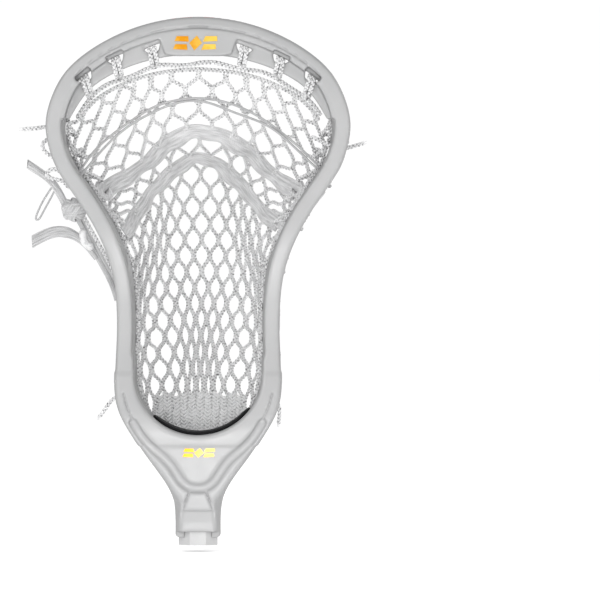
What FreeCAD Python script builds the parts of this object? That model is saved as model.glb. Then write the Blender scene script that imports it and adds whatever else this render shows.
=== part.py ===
import FreeCAD, Part
import math
import os

import Sketcher

# A strung field-lacrosse head on a short cut stub of its shaft, in millimetres.
# +Z runs up the shaft to the tip of the scoop, +X is the width and the open face looks along -Y,
# so the pocket bulges towards +Y. The origin is the centre of the stub's lower end.

V = FreeCAD.Vector
doc = FreeCAD.newDocument("lacrosse_head")

# ---------------------------------------------------------------------------------------------
# Driving dimensions
# ---------------------------------------------------------------------------------------------

DRIVING = [
    ("tip_height", 320.0),
    ("head_width", 184.6),
    ("rim_width", 9.7),
    ("rear_inset", 3.6),
    ("rear_wall", 7.4),
    ("scoop_wall", 3.4),
    ("socket_front", 7.9),
    ("socket_back", 3.0),
    ("bore_top", 54.0),
    ("shaft_flats", 23.4),
    ("shaft_wall", 1.6),
    ("shaft_play", 0.25),
    ("shaft_length", 52.0),
    ("ball_stop_wall", 3.0),
    ("ball_stop_depth", 27.0),
    ("string_hole", 3.6),
    ("string_cord", 2.6),
    ("nylon_cord", 2.2),
    ("mesh_wall", 2.4),
    ("lace_width", 7.6),
    ("lace_thick", 1.3),
    ("screw_head", 7.6),
    ("screw_shank", 3.4),
    ("screw_length", 11.0),
    ("screw_key", 3.0),
]

sheet = doc.addObject("Spreadsheet::Sheet", "sizes")
for row, (alias, value) in enumerate(DRIVING, start=1):
    sheet.set(f"A{row}", alias)
    sheet.set(f"B{row}", str(value))
    sheet.setAlias(f"B{row}", alias)
doc.recompute()


def size(alias):
    """One driving dimension, read back from the sheet."""
    return float(sheet.get(alias))


TIP = size("tip_height")
HALF_WIDTH = size("head_width") / 2
RIM = size("rim_width")
CORD = size("string_cord") / 2
NYLON = size("nylon_cord") / 2

# ---------------------------------------------------------------------------------------------
# Outlines and profiles
# ---------------------------------------------------------------------------------------------

# Right half of the head's outline seen from the front, from the tip to the socket: X, Z.
OUTLINE = [
    (28.0, TIP - 3.5), (54.0, 306.5), (69.0, 297.0), (80.5, 286.0), (88.5, 271.5), (HALF_WIDTH, 255.0),
    (90.5, 241.0), (85.5, 227.5), (76.5, 213.5), (66.5, 198.5), (57.5, 181.0), (52.0, 164.0),
    (49.8, 147.0), (49.4, 126.0), (50.2, 103.0), (48.0, 83.0), (40.5, 68.0), (31.0, 53.5),
    (20.8, 39.5), (15.2, 28.5), (13.8, 19.0), (13.8, size("socket_back")),
]

# Right half of the opening's rounded lower end, where the ball stop sits: X, Z.
BOWL = [(40.4, 103.0), (38.8, 93.0), (34.8, 84.5), (27.5, 76.5), (16.0, 69.3), (0.0, 66.0)]

# Front edge of the sidewalls seen from the side: Z, Y. They sweep back behind the shaft's axis line.
FRONT_EDGE = [
    (320, -1.0), (297, -6.0), (283, -8.0), (262, -7.7), (235, -6.2), (210, -4.8), (190, -5.0),
    (170, -2.5), (150, -0.6), (133, -1.0), (118, -3.0), (102, -7.5), (86, -12.5), (71, -15.4),
    (58, -15.0), (44, -14.8), (28, -15.2), (2, -14.8),
]

# Rear face of the front rail: Z, Y.
FRONT_RAIL_BACK = [
    (320, 8.0), (300, 8.0), (270, 7.0), (240, 8.0), (220, 12.5), (200, 10.5), (178, 9.8), (160, 11.5),
    (140, 15.0), (128, 15.0), (112, 10.5), (95, 6.5), (80, 7.0), (60, 10.0),
]

# Rear edge of the sidewall, which carries the string holes: Z, Y.
REAR_EDGE = [
    (300, 9.0), (285, 14.0), (270, 21.5), (252, 30.0), (234, 37.5), (216, 45.0), (203, 47.6),
    (185, 46.0), (165, 43.5), (140, 42.0), (118, 39.5), (100, 35.5), (82, 30.5), (68, 24.0),
]

# The three windows of each sidewall, between the front rail, the two struts and the rear rail: Y, Z.
WINDOWS = [
    [(7.0, 265.0), (7.5, 240.0), (13.0, 258.0)],
    [
        (14.5, 221.0), (10.8, 205.0), (10.2, 180.0), (12.5, 150.0),
        (28.5, 176.0), (30.0, 206.0), (20.5, 236.0),
    ],
    [(27.5, 155.0), (16.2, 132.0), (10.8, 112.0), (6.8, 94.0), (6.5, 78.0), (11.0, 82.0), (18.0, 101.0),
     (24.5, 130.0)],
]

# Depth of the strung pocket at mid width, and of its edge on the rear rail: Z, Y.
POCKET_DEPTH = [
    (290, 9.0), (271, 17.0), (252, 34.0), (240, 54.0), (228, 76.0), (215, 89.0), (202, 98.0),
    (187, 104.0), (176, 106.0), (163, 104.0), (148, 98.0), (133, 88.0), (118, 73.0), (105, 61.0),
    (92, 54.0), (75, 49.0), (60, 45.5), (50, 41.0), (44, 34.0), (41, 27.0),
]
POCKET_EDGE = [
    (290, 9.0), (271, 15.0), (252, 21.0), (234, 28.0), (215, 36.0), (203, 39.0), (185, 38.0),
    (163, 36.5), (140, 35.5), (118, 32.0), (100, 28.0), (82, 25.0), (68, 24.0), (50, 22.0), (41, 21.0),
]
POCKET_POWER = 3.0


def spline(points):
    """A smooth edge through the points."""
    curve = Part.BSplineCurve()
    curve.interpolate(points)
    return curve


def graph(points):
    """A smooth function of Z from (Z, value) pairs listed downwards."""
    curve = spline([V(float(z), float(value), 0) for z, value in reversed(points)])
    low, high = points[-1][0], points[0][0]

    def value_at(z):
        z = min(max(z, low), high)
        first, last = curve.FirstParameter, curve.LastParameter
        for _ in range(40):
            middle = (first + last) / 2
            if curve.value(middle).x < z:
                first = middle
            else:
                last = middle
        return curve.value((first + last) / 2).y

    return value_at


rear_edge = graph(REAR_EDGE)
pocket_depth = graph(POCKET_DEPTH)
pocket_edge = graph(POCKET_EDGE)


def both_sides(points):
    """X, Z points of a right half from top to bottom, mirrored into one run from left to right."""
    left = [V(-x, 0, z) for x, z in reversed(points)]
    right = [V(x, 0, z) for x, z in points]
    return left, right


def outer_curve():
    left, right = both_sides(OUTLINE)
    return spline(left + [V(0, 0, TIP)] + right)


OUTER = outer_curve()


def inset_points(distance, lowest, count=46):
    """Points on the outline moved inward, from the left up over the tip and down to the right."""
    points = []
    for step in range(count + 1):
        at = OUTER.FirstParameter + (OUTER.LastParameter - OUTER.FirstParameter) * step / count
        place = OUTER.value(at)
        along = OUTER.tangent(at)[0]
        inward = V(along.z, 0, -along.x)
        moved = place + inward * distance
        if moved.z >= lowest:
            points.append(moved)
    return points


def inner_half_width(z, distance):
    """Half width of the outline at height z, moved inward by the distance."""
    points = [p for p in inset_points(distance, 20.0, 160) if p.x > 0]
    for above, below in zip(points, points[1:]):
        if above.z >= z > below.z:
            share = (above.z - z) / (above.z - below.z)
            return above.x + (below.x - above.x) * share
    return points[-1].x if z < points[-1].z else points[0].x


def prism_y(edges, y_low, y_high):
    """A closed outline in the XZ plane, carried along Y."""
    face = Part.Face(Part.Wire(Part.__sortEdges__(edges)))
    face.translate(V(0, y_low, 0))
    return face.extrude(V(0, y_high - y_low, 0))


def prism_x(points, reach=110.0):
    """A closed outline of (Y, Z) points, carried along X across the whole head."""
    places = [V(-reach, y, z) for y, z in points]
    wire = Part.makePolygon(places + [places[0]])
    return Part.Face(wire).extrude(V(2 * reach, 0, 0))


def line(start, end):
    return Part.LineSegment(start, end).toShape()


def outline_prism(distance, lowest, y_low, y_high):
    """Everything inside the outline moved inward by the distance, above the lowest height."""
    if distance == 0:
        curve = OUTER
        first, last = curve.value(curve.FirstParameter), curve.value(curve.LastParameter)
    else:
        points = inset_points(distance, lowest)
        curve = spline(points)
        first, last = points[0], points[-1]
    return prism_y([curve.toShape(), line(last, first)], y_low, y_high)


def opening_prism(distance, y_low, y_high):
    """The head's opening: the outline moved inward above, and the rounded bowl below."""
    join_x, join_z = BOWL[0]
    above = [p for p in inset_points(distance, join_z + 6.0)]
    shift = RIM - distance
    left, right = both_sides([(x + shift * x / join_x, z - shift * (1 - x / join_x)) for x, z in BOWL[:-1]])
    bottom = V(0, 0, BOWL[-1][1] - shift)
    ring = above + right + [bottom] + left
    curve = Part.BSplineCurve()
    curve.interpolate(ring, PeriodicFlag=True)
    return prism_y([curve.toShape()], y_low, y_high)


# ---------------------------------------------------------------------------------------------
# Moulded head
# ---------------------------------------------------------------------------------------------


def front_rail():
    """The broad front band, all the way round the opening."""
    ring = outline_prism(0, 0, -30, 60).cut(opening_prism(RIM, -31, 61))
    front = [(y, z) for z, y in FRONT_EDGE]
    back = [(y, z) for z, y in reversed(FRONT_RAIL_BACK)]
    side = prism_x([place for place in front if place[1] > 50] + back)
    return ring.common(side)


def rear_rail():
    """The thinner rear band with the two struts, set inboard, with its windows cut through."""
    outer = outline_prism(size("rear_inset"), 55.0, -30, 60)
    inner = opening_prism(size("rear_inset") + size("rear_wall"), -31, 61)
    ring = outer.cut(inner)
    rear = [(y, z) for z, y in REAR_EDGE]
    side = prism_x([(2.0, 62.0), (2.0, 304.0)] + rear)
    for window in WINDOWS:
        side = side.cut(prism_x(window, reach=111.0))
    return ring.common(side)


SCOOP_LIP = [(0.0, 297.0), (22.0, 295.0), (51.0, 285.6), (66.0, 275.5), (78.0, 258.0)]
SLOT_PLACES = [(28.0, 301.5, 22.0), (50.0, 295.0, 26.0), (69.0, 284.0, 40.0)]


def scoop_lip_prism(rise):
    """Everything above the curved lower lip of the scoop, raised or lowered."""
    left, right = both_sides([(x, z + rise) for x, z in SCOOP_LIP[1:]])
    lip = spline(left + [V(0, 0, SCOOP_LIP[0][1] + rise)] + right)
    ends = [V(100, 0, right[-1].z - 18), V(100, 0, 330), V(-100, 0, 330), V(-100, 0, right[-1].z - 18)]
    corners = [right[-1]] + ends + [left[0]]
    edges = [lip.toShape()] + [line(start, end) for start, end in zip(corners, corners[1:])]
    return prism_y(edges, -20, 60)


def scoop_plate():
    """The curved plate behind the rim at the top, with its six slots for the top string."""
    above_lip = scoop_lip_prism(0.0)
    wall = size("scoop_wall")
    front = [(2.0, 322.0), (5.0, 300.0), (9.0, 256.0)]
    slant = front + [(y + wall, z) for y, z in reversed(front)]
    plate = outline_prism(2.0, 240.0, -20, 40).common(above_lip).common(prism_x(slant))
    for x, z, tilt in SLOT_PLACES:
        for side in (-1, 1):
            plate = plate.cut(slot_cutter(side * x, z, side * tilt))
    return plate


def slot_cutter(x, z, tilt):
    """A tapered slot, wide at the top, that the top string passes through."""
    right = [(5.4, 2.6), (4.8, 0.4), (2.2, -2.8)]
    corners = [V(u, 0, v) for u, v in right] + [V(-u, 0, v) for u, v in reversed(right)]
    cutter = Part.Face(Part.makePolygon(corners + [corners[0]])).extrude(V(0, 60, 0))
    cutter.rotate(V(0, 0, 0), V(0, 1, 0), tilt)
    cutter.translate(V(x, -20, z))
    return cutter


PAD_FRONT = 1.2
PAD_THICK = 6.0


def scoop_pad():
    """The raised middle pad of the scoop."""
    right = [(15.5, 311.2), (23.5, 307.0), (20.0, 297.0)]
    corners = [V(x, PAD_FRONT, z) for x, z in right] + [V(-x, PAD_FRONT, z) for x, z in reversed(right)]
    return Part.Face(Part.makePolygon(corners + [corners[0]])).extrude(V(0, PAD_THICK, 0))


def throat():
    """The tapering throat between the bowl and the shaft socket."""
    block = outline_prism(0, 0, -30, 60).cut(opening_prism(RIM, -31, 61))
    front = [(y, z) for z, y in FRONT_EDGE if z <= 104]
    back = [
        (13.0, 2.0), (15.2, 14.0), (14.4, 22.0), (13.4, 30.0), (13.2, 44.0), (17.0, 58.0),
        (24.0, 68.0), (22.0, 84.0), (6.0, 100.0),
    ]
    block = block.common(prism_x(front + back))
    front_step = Part.makeBox(40.0, 14.0, size("socket_front"), V(-20.0, -20.0, 0))
    return block.cut(front_step)


def valley_cutters():
    """The two shallow valleys that run down the front of the throat, one on each side of the middle panel."""
    route = [V(44.0, -18.0, 84.0), V(34.0, -18.5, 66.0), V(22.0, -17.8, 52.0), V(12.0, -17.6, 38.0)]
    right = round_tube(route, 4.2)
    return [right, right.mirror(V(0, 0, 0), V(1, 0, 0))]


def shaft_socket_cutter():
    """The octagonal bore that the shaft slides into."""
    play = size("shaft_play")
    radius = (size("shaft_flats") / 2 + play) / math.cos(math.pi / 8)
    angles = [math.pi / 8 + step * math.pi / 4 for step in range(9)]
    corners = [V(radius * math.cos(angle), radius * math.sin(angle), 0) for angle in angles]
    return Part.Face(Part.makePolygon(corners)).extrude(V(0, 0, size("bore_top")))


STRING_HOLES = [88.0 + 13.2 * step for step in range(14)]


def string_hole_cutters():
    """One row of string holes along the rear edge of each sidewall."""
    cutters = []
    for z in STRING_HOLES:
        centre = V(-110.0, rear_edge(z) - 4.2, z)
        cutters.append(Part.makeCylinder(size("string_hole") / 2, 220.0, centre, V(1, 0, 0)))
    return cutters


SCREW_HEIGHT = 36.0
BOSS_FACE = 19.0


def head_shape():
    body = front_rail().fuse([rear_rail(), scoop_plate(), scoop_pad(), throat(), screw_boss()])
    cutters = valley_cutters() + string_hole_cutters() + [shaft_socket_cutter(), screw_well()]
    body = body.cut(cutters)
    solids = sorted(body.Solids, key=lambda solid: -solid.Volume)
    return solids[0]


def screw_boss():
    return Part.makeCylinder(6.4, BOSS_FACE - 4.0, V(0, 4.0, SCREW_HEIGHT), V(0, 1, 0))


def screw_well():
    """The counterbore for the screw's head and the hole for its shank."""
    well = Part.makeCylinder(size("screw_head") / 2 + 0.3, 10.0, V(0, BOSS_FACE - 2.6, SCREW_HEIGHT), V(0, 1, 0))
    hole = Part.makeCylinder(size("screw_shank") / 2 + 0.1, 30.0, V(0, 0, SCREW_HEIGHT), V(0, 1, 0))
    return well.fuse(hole)


# ---------------------------------------------------------------------------------------------
# Pocket surface
# ---------------------------------------------------------------------------------------------


def pocket_half(z):
    """Half width of the pocket at a height: the inner face of the rear rail, closing in behind the bowl."""
    rail = inner_half_width(max(z, 104.0), size("rear_inset") + size("rear_wall")) - 0.4
    if z >= 104.0:
        return rail
    closing = (104.0 - z) / 54.0
    return rail - 12.0 * closing ** 1.6


def pocket_y(x, z):
    """Depth of the pocket's surface: flat in the channel, steep at the rails."""
    half = pocket_half(z)
    share = min(abs(x) / half, 1.0)
    edge = pocket_edge(z)
    return edge + (pocket_depth(z) - edge) * (1 - share ** POCKET_POWER)


POCKET_LEVELS = [295, 283, 270, 252, 236, 218, 202, 185, 165, 142, 120, 102, 86, 70, 56, 47, 42]


def pocket_section(z, steps=10):
    """One level of the pocket: a thin crescent between its front and back surfaces."""
    half = pocket_half(z)
    wall = size("mesh_wall")
    front = []
    for step in range(-steps, steps + 1):
        x = half * step / steps
        front.append(V(x, pocket_y(x, z), z))
    back = []
    for index, place in enumerate(front):
        before = front[max(index - 1, 0)]
        after = front[min(index + 1, len(front) - 1)]
        along = after - before
        outward = V(-along.y, along.x, 0).normalize()
        back.append(place + outward * wall)
    back.reverse()
    edges = [
        spline(front).toShape(),
        line(front[-1], back[0]),
        spline(back).toShape(),
        line(back[-1], front[0]),
    ]
    return Part.Wire(edges)


def pocket_shape():
    """The strung mesh as one thin shell, open towards the face, closed below by its knitted end."""
    shell = Part.makeLoft([pocket_section(z) for z in POCKET_LEVELS], True, False)
    above_lip = scoop_lip_prism(-3.0)
    return shell.cut(above_lip)


# ---------------------------------------------------------------------------------------------
# Cords and laces
# ---------------------------------------------------------------------------------------------

def bend_arc(before, corner, after):
    """The arc that rounds one corner of a route, with its two tangent points."""
    first = before - corner
    second = after - corner
    turn = math.pi - first.getAngle(second)
    shorter = min(first.Length, second.Length)
    radius = 0.45 * shorter / math.tan(turn / 2)
    reach = 0.45 * shorter
    start = corner + first.normalize() * reach
    end = corner + second.normalize() * reach
    bisector = (first + second).normalize()
    centre = corner + bisector * (radius / math.cos(turn / 2))
    middle = centre - bisector * radius
    return Part.Arc(start, middle, end), start, end, radius


def route_wire(points):
    """Straight runs joined by tangent arcs, and the smallest arc's radius."""
    edges = []
    at = points[0]
    smallest = 1e9
    for before, corner, after in zip(points, points[1:], points[2:]):
        arc, start, end, radius = bend_arc(before, corner, after)
        edges.append(line(at, start))
        edges.append(arc.toShape())
        at = end
        smallest = min(smallest, radius)
    edges.append(line(at, points[-1]))
    return Part.Wire(edges), smallest


def round_tube(points, radius):
    """A solid of round section along a route."""
    wire, _ = route_wire(points)
    profile = Part.Wire([Part.Circle(points[0], points[1] - points[0], radius).toShape()])
    return wire.makePipeShell([profile], True, True)


def cord_tube(name, places, radius):
    """A round cord along a route of (X, Y, Z) places, with its length, volume and tightest bend printed."""
    points = [V(*place) for place in places]
    tube = round_tube(points, radius)
    wire, smallest = route_wire(points)
    expected = math.pi * radius ** 2 * wire.Length
    print(f"{name}: {wire.Length:.0f} mm long, smallest bend radius {smallest:.1f} mm, "
          f"volume {tube.Volume:.0f} against section times length {expected:.0f}")
    return tube


def ribbon(places, across, width, thick):
    """A flat lace: a thin strip through the places, with its width along the given directions."""
    points = [V(*place) for place in places]
    sections = []
    for index, place in enumerate(points):
        before = points[max(index - 1, 0)]
        after = points[min(index + 1, len(points) - 1)]
        along = (after - before).normalize()
        side = V(*across[index])
        side = (side - along * side.dot(along)).normalize()
        up = along.cross(side)
        corners = []
        for a, b in ((-1, -1), (1, -1), (1, 1), (-1, 1)):
            corners.append(place + side * (a * width / 2) + up * (b * thick / 2))
        sections.append(Part.makePolygon(corners + [corners[0]]))
    return Part.makeLoft(sections, True, True)


def arch_ribbon(half_span, crown_z, foot_z, lift, steps=14):
    """A shooting lace woven in an arch across the pocket, on the pocket's front surface."""
    places = []
    across = []
    for step in range(-steps, steps + 1):
        share = step / steps
        x = half_span * share
        z = foot_z + (crown_z - foot_z) * (1 - abs(share) ** 1.7)
        places.append((x, pocket_y(x, z) - lift, z))
        slope = -1.7 * (crown_z - foot_z) / half_span * abs(share) ** 0.7 * (1 if share > 0 else -1)
        upward = (-slope, pocket_y(x, z + 2) - pocket_y(x, z - 2), 1.0)
        across.append(upward)
    return ribbon(places, across, size("lace_width"), size("lace_thick"))


def rail_string(side):
    """A sidewall string: it runs down the inside of the rear rail beside its holes."""
    places = []
    for z in (266, 244, 222, 200, 178, 156, 134, 112, 92):
        places.append((side * (pocket_half(z) - 2.2), rear_edge(z) - 2.0, float(z)))
    return places


TOP_STRING = [
    (-74, 5.5, 278), (-64, 4.5, 284), (-50, 3.0, 290.5), (-33, 1.5, 295.5), (-12, 1.0, 291.5),
    (12, 1.0, 292), (33, 1.5, 295.5), (50, 3.0, 290.5), (64, 4.5, 284), (74, 5.5, 278),
]
BOTTOM_STRING = [
    (-34, 27.5, 76), (-29, 31.0, 66), (-18, 31.5, 58.5), (-6, 30.5, 55),
    (6, 30.5, 55), (18, 31.5, 58.5), (29, 31.0, 66), (34, 27.5, 76),
]
NYLON_SHOOTER = [
    (-72, 13.5, 225.5), (-58, 22.0, 243), (-42, 21.5, 256), (-22, 16.0, 266.5), (0, 13.5, 270.2),
    (21, 16.0, 265), (42, 20.5, 255.5), (58, 21.0, 243), (72, 14.0, 229.5),
]
LEFT_TAIL_UPPER = [(-79, 36, 203), (-83, 36, 211), (-88, 36.5, 219), (-95, 35.5, 226.5), (-104.5, 33, 232.5)]
LEFT_HAIRPIN = [
    (-89, 36, 219.5), (-95, 37, 211), (-99, 38, 203), (-101.0, 38.5, 197.5), (-98.5, 38.5, 197.3),
    (-95.5, 38.0, 203), (-91, 37, 211), (-88, 36.5, 217),
]
LEFT_TAIL_LOWER = [
    (-63, 43, 174), (-69.5, 42.5, 182.5), (-76.5, 42.5, 188.5), (-86, 43, 191), (-95.5, 42.5, 188.5),
    (-103, 41.5, 184),
]
LEFT_RUN = [(-74, 40, 198), (-66.5, 42.5, 184), (-58, 44, 169), (-52.5, 44.5, 156.5), (-50.5, 43.5, 148.5)]
LEFT_SIDE_TAIL = [(-74, 20, 257), (-83.5, 17.5, 255), (-92.5, 15, 253.8), (-100, 13, 252.5), (-106.5, 12, 252.2)]
LEFT_SIDE_LOOP = [
    (-79, 26, 238), (-85, 24, 244.5), (-91, 22, 247), (-96, 20.5, 244), (-94.5, 21, 238.5),
    (-88, 24, 235), (-80, 27, 232),
]
RIGHT_SIDE_TAIL = [(69, 23, 248), (78.5, 20, 243), (86.5, 17, 240.3), (93.5, 14, 241.3), (100, 12, 243.5)]
LEFT_BOTTOM_TAIL = [
    (-37, 31.5, 97), (-42, 35, 93), (-48.5, 38, 90.5), (-54.5, 40, 86.5), (-58, 41, 81), (-61.5, 42, 76.5),
]
RIGHT_BOTTOM_TAIL = [(37, 31, 99), (41, 35, 92.5), (46.5, 38.5, 87.5), (50, 41, 80.5), (48.5, 43.5, 72.5)]


# ---------------------------------------------------------------------------------------------
# Sub-parts
# ---------------------------------------------------------------------------------------------

nodes = {}


def add_shape(label, shape):
    """A sub-part whose shape is built by Part's own functions."""
    feature = doc.addObject("Part::Feature", label)
    feature.Shape = shape
    feature.Label = label
    nodes[label] = feature
    return feature


def add_shaft_stub():
    """The cut end of the shaft: an octagonal aluminium tube."""
    prisms = []
    outside = "sizes.shaft_flats"
    inside = "(sizes.shaft_flats - 2 * sizes.shaft_wall)"
    for name, flats in (("shaft_outside", outside), ("shaft_inside", inside)):
        prism = doc.addObject("Part::Prism", name)
        prism.Polygon = 8
        prism.setExpression("Circumradius", f"{flats} / 2 / cos(22.5 deg)")
        prism.setExpression("Height", "sizes.shaft_length")
        prism.Placement = FreeCAD.Placement(V(0, 0, 0), FreeCAD.Rotation(V(0, 0, 1), 22.5))
        prisms.append(prism)
    tube = doc.addObject("Part::Cut", "shaft_stub")
    tube.Base, tube.Tool = prisms
    tube.Label = "shaft_stub"
    nodes["shaft_stub"] = tube


def origin_plane(body, role):
    return [feature for feature in body.Origin.OriginFeatures if feature.Role == role][0]


def add_round_sketch(body, name, radius_expression, offset):
    """A sketch of one circle on the body's XY plane, offset along its axis."""
    sketch = body.newObject("Sketcher::SketchObject", name)
    sketch.AttachmentSupport = [(origin_plane(body, "XY_Plane"), "")]
    sketch.MapMode = "FlatFace"
    sketch.AttachmentOffset = FreeCAD.Placement(V(0, 0, offset), FreeCAD.Rotation())
    sketch.addGeometry(Part.Circle(V(0, 0, 0), V(0, 0, 1), 2.0), False)
    sketch.addConstraint(Sketcher.Constraint("Coincident", 0, 3, -1, 1))
    sketch.addConstraint(Sketcher.Constraint("Radius", 0, 2.0))
    sketch.setExpression("Constraints[1]", radius_expression)
    return sketch


def add_head_screw():
    """The button-head screw that fixes the head to the shaft from behind."""
    body = doc.addObject("PartDesign::Body", "head_screw")
    shank_sketch = add_round_sketch(body, "screw_shank_circle", "sizes.screw_shank / 2", 0)
    shank = body.newObject("PartDesign::Pad", "screw_shank_pad")
    shank.Profile = shank_sketch
    shank.setExpression("Length", "sizes.screw_length")
    doc.recompute()
    head_sketch = add_round_sketch(body, "screw_head_circle", "sizes.screw_head / 2", size("screw_length") - 2.4)
    head = body.newObject("PartDesign::Pad", "screw_head_pad")
    head.Profile = head_sketch
    head.Length = 2.4
    doc.recompute()
    top = size("screw_length")
    key_sketch = body.newObject("Sketcher::SketchObject", "screw_key_hexagon")
    key_sketch.AttachmentSupport = [(origin_plane(body, "XY_Plane"), "")]
    key_sketch.MapMode = "FlatFace"
    key_sketch.AttachmentOffset = FreeCAD.Placement(V(0, 0, top), FreeCAD.Rotation())
    key_radius = size("screw_key") / 2 / math.cos(math.pi / 6)
    turns = [step * math.pi / 3 for step in range(7)]
    corners = [V(key_radius * math.cos(turn), key_radius * math.sin(turn), 0) for turn in turns]
    for start, end in zip(corners, corners[1:]):
        key_sketch.addGeometry(Part.LineSegment(start, end), False)
    key = body.newObject("PartDesign::Pocket", "screw_key_pocket")
    key.Profile = key_sketch
    key.Length = 1.6
    doc.recompute()
    body.Placement = FreeCAD.Placement(V(0, BOSS_FACE - 0.2 - top, SCREW_HEIGHT), FreeCAD.Rotation(V(1, 0, 0), -90))
    body.Label = "head_screw"
    nodes["head_screw"] = body


def add_badge(label, width, height, thick, middle, tilt):
    """A thin moulded emblem plate, as a padded sketch whose rectangle is bound to its sizes."""
    body = doc.addObject("PartDesign::Body", label)
    sketch = body.newObject("Sketcher::SketchObject", f"{label}_outline")
    sketch.AttachmentSupport = [(origin_plane(body, "XY_Plane"), "")]
    sketch.MapMode = "FlatFace"
    slant = 0.12 * width
    corners = [
        V(-width / 2, -height / 2, 0), V(width / 2 - slant, -height / 2, 0),
        V(width / 2, height / 2, 0), V(-width / 2 + slant, height / 2, 0),
    ]
    for start, end in zip(corners, corners[1:] + corners[:1]):
        sketch.addGeometry(Part.LineSegment(start, end), False)
    pad = body.newObject("PartDesign::Pad", f"{label}_pad")
    pad.Profile = sketch
    pad.Length = thick
    doc.recompute()
    body.Placement = FreeCAD.Placement(middle, FreeCAD.Rotation(V(1, 0, 0), 90 + tilt))
    body.Label = label
    nodes[label] = body


def ball_stop_shape():
    """The foam pad that lines the bottom of the bowl."""
    wall = size("ball_stop_wall")
    reach = [V(x, 0, z) for x, z in BOWL[2:-1]]
    outside = [V(-p.x, 0, p.z) for p in reach] + [V(0, 0, BOWL[-1][1])] + [p for p in reversed(reach)]
    inside = []
    for index, place in enumerate(outside):
        before = outside[max(index - 1, 0)]
        after = outside[min(index + 1, len(outside) - 1)]
        along = (after - before).normalize()
        thin = 0.35 if index in (0, len(outside) - 1) else 1.0
        inside.append(place + V(-along.z, 0, along.x) * wall * thin)
    outside = [place + V(0, 0, 0.15) for place in outside]
    edges = [
        spline(outside).toShape(),
        line(outside[-1], inside[-1]),
        spline(inside).toShape(),
        line(outside[0], inside[0]),
    ]
    return prism_y(edges, -9.0, -9.0 + size("ball_stop_depth"))


def label_shape():
    """The thin label on the outside of the scoop's tip, from left of the middle to right of it."""
    inner = outline_prism(-0.05, 250.0, 1.5, 7.5)
    outer = outline_prism(-0.45, 250.0, 1.5, 7.5)
    band = outer.cut(inner)
    return band.common(Part.makeBox(57.0, 20.0, 60.0, V(-46.0, -5.0, 300.0)))


def lace_wrap(z_centre):
    """A flat lace wrapped once round the right rear rail."""
    z = z_centre
    inner = inner_half_width(z, size("rear_inset") + size("rear_wall"))
    outer = inner_half_width(z, size("rear_inset"))
    front, back = rear_edge(z) - 17.0, rear_edge(z)
    thick = size("lace_thick")
    box_outer = Part.makeBox(outer - inner + 2 * thick + 3, back - front + 2 * thick, size("lace_width"),
                             V(inner - thick - 1.5, front - thick, z - size("lace_width") / 2))
    box_inner = Part.makeBox(outer - inner + 3, back - front, 30.0, V(inner - 1.5, front, z - 15))
    return box_outer.cut(box_inner)


def knot_shape():
    """The big lace knot outside the left rail."""
    stretch = FreeCAD.Matrix()
    stretch.scale(8.6, 7.0, 7.2)
    stretch.move(V(-77.0, 36.0, 203.5))
    return Part.makeSphere(1.0).transformGeometry(stretch)


def tail_shape():
    """The surplus knitted mesh behind the ball stop: a cupped band that curves up at its end."""
    wall = size("mesh_wall")
    centre = [(36, 41.5), (46, 40.5), (58, 42.0), (72, 45.5), (86, 51.5), (97, 60.0), (104, 70.0)]
    halves = [16.0, 17.0, 18.5, 19.0, 19.0, 17.5, 13.0]
    sections = []
    for index, ((y, z), half) in enumerate(zip(centre, halves)):
        y_before, z_before = centre[max(index - 1, 0)]
        y_after, z_after = centre[min(index + 1, len(centre) - 1)]
        along = V(0, y_after - y_before, z_after - z_before).normalize()
        up = V(0, -along.z, along.y)
        lower = []
        for step in range(-4, 5):
            share = step / 4
            lift = 10.0 * share * share
            lower.append(V(half * share, y, z) + up * lift)
        upper = [place + up * wall for place in reversed(lower)]
        outer_end = line(lower[-1], upper[0])
        inner_end = line(upper[-1], lower[0])
        edges = [spline(lower).toShape(), outer_end, spline(upper).toShape(), inner_end]
        sections.append(Part.Wire(edges))
    return Part.makeLoft(sections, True, False)


CORDS = [
    ("top_string", TOP_STRING, CORD),
    ("left_sidewall_string", rail_string(-1), CORD),
    ("right_sidewall_string", rail_string(1), CORD),
    ("bottom_string", BOTTOM_STRING, CORD),
    ("nylon_shooter", NYLON_SHOOTER, NYLON),
    ("left_upper_lace_tail", LEFT_TAIL_UPPER, 2.2),
    ("left_nylon_tail", LEFT_HAIRPIN, NYLON / 2),
    ("left_lower_lace_tail", LEFT_TAIL_LOWER, 2.6),
    ("left_lace_run", LEFT_RUN, 3.0),
    ("left_string_tail", LEFT_SIDE_TAIL, CORD),
    ("left_string_loop", LEFT_SIDE_LOOP, CORD),
    ("right_string_tail", RIGHT_SIDE_TAIL, CORD),
    ("left_bottom_tail", LEFT_BOTTOM_TAIL, CORD),
    ("right_bottom_tail", RIGHT_BOTTOM_TAIL, CORD),
]


def build():
    add_shape("head_frame", head_shape())
    add_shape("ball_stop", ball_stop_shape())
    add_shaft_stub()
    add_head_screw()
    add_shape("pocket_mesh", pocket_shape())
    add_shape("mesh_tail", tail_shape())
    for name, places, radius in CORDS:
        add_shape(name, cord_tube(name, places, radius))
    add_shape("upper_shooting_lace", arch_ribbon(66.0, 252.0, 211.0, 1.2))
    add_shape("lower_shooting_lace", arch_ribbon(52.0, 236.0, 190.0, 1.2))
    add_shape("upper_lace_wrap", lace_wrap(213.0))
    add_shape("lower_lace_wrap", lace_wrap(190.0))
    add_shape("left_lace_knot", knot_shape())
    add_shape("scoop_label", label_shape())
    add_badge("scoop_badge", 26.0, 9.0, 0.4, V(-1.5, PAD_FRONT - 0.05, 303.8), 0)
    add_badge("throat_badge", 19.0, 5.6, 0.4, V(0.8, -14.9, 56.0), 0)


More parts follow.
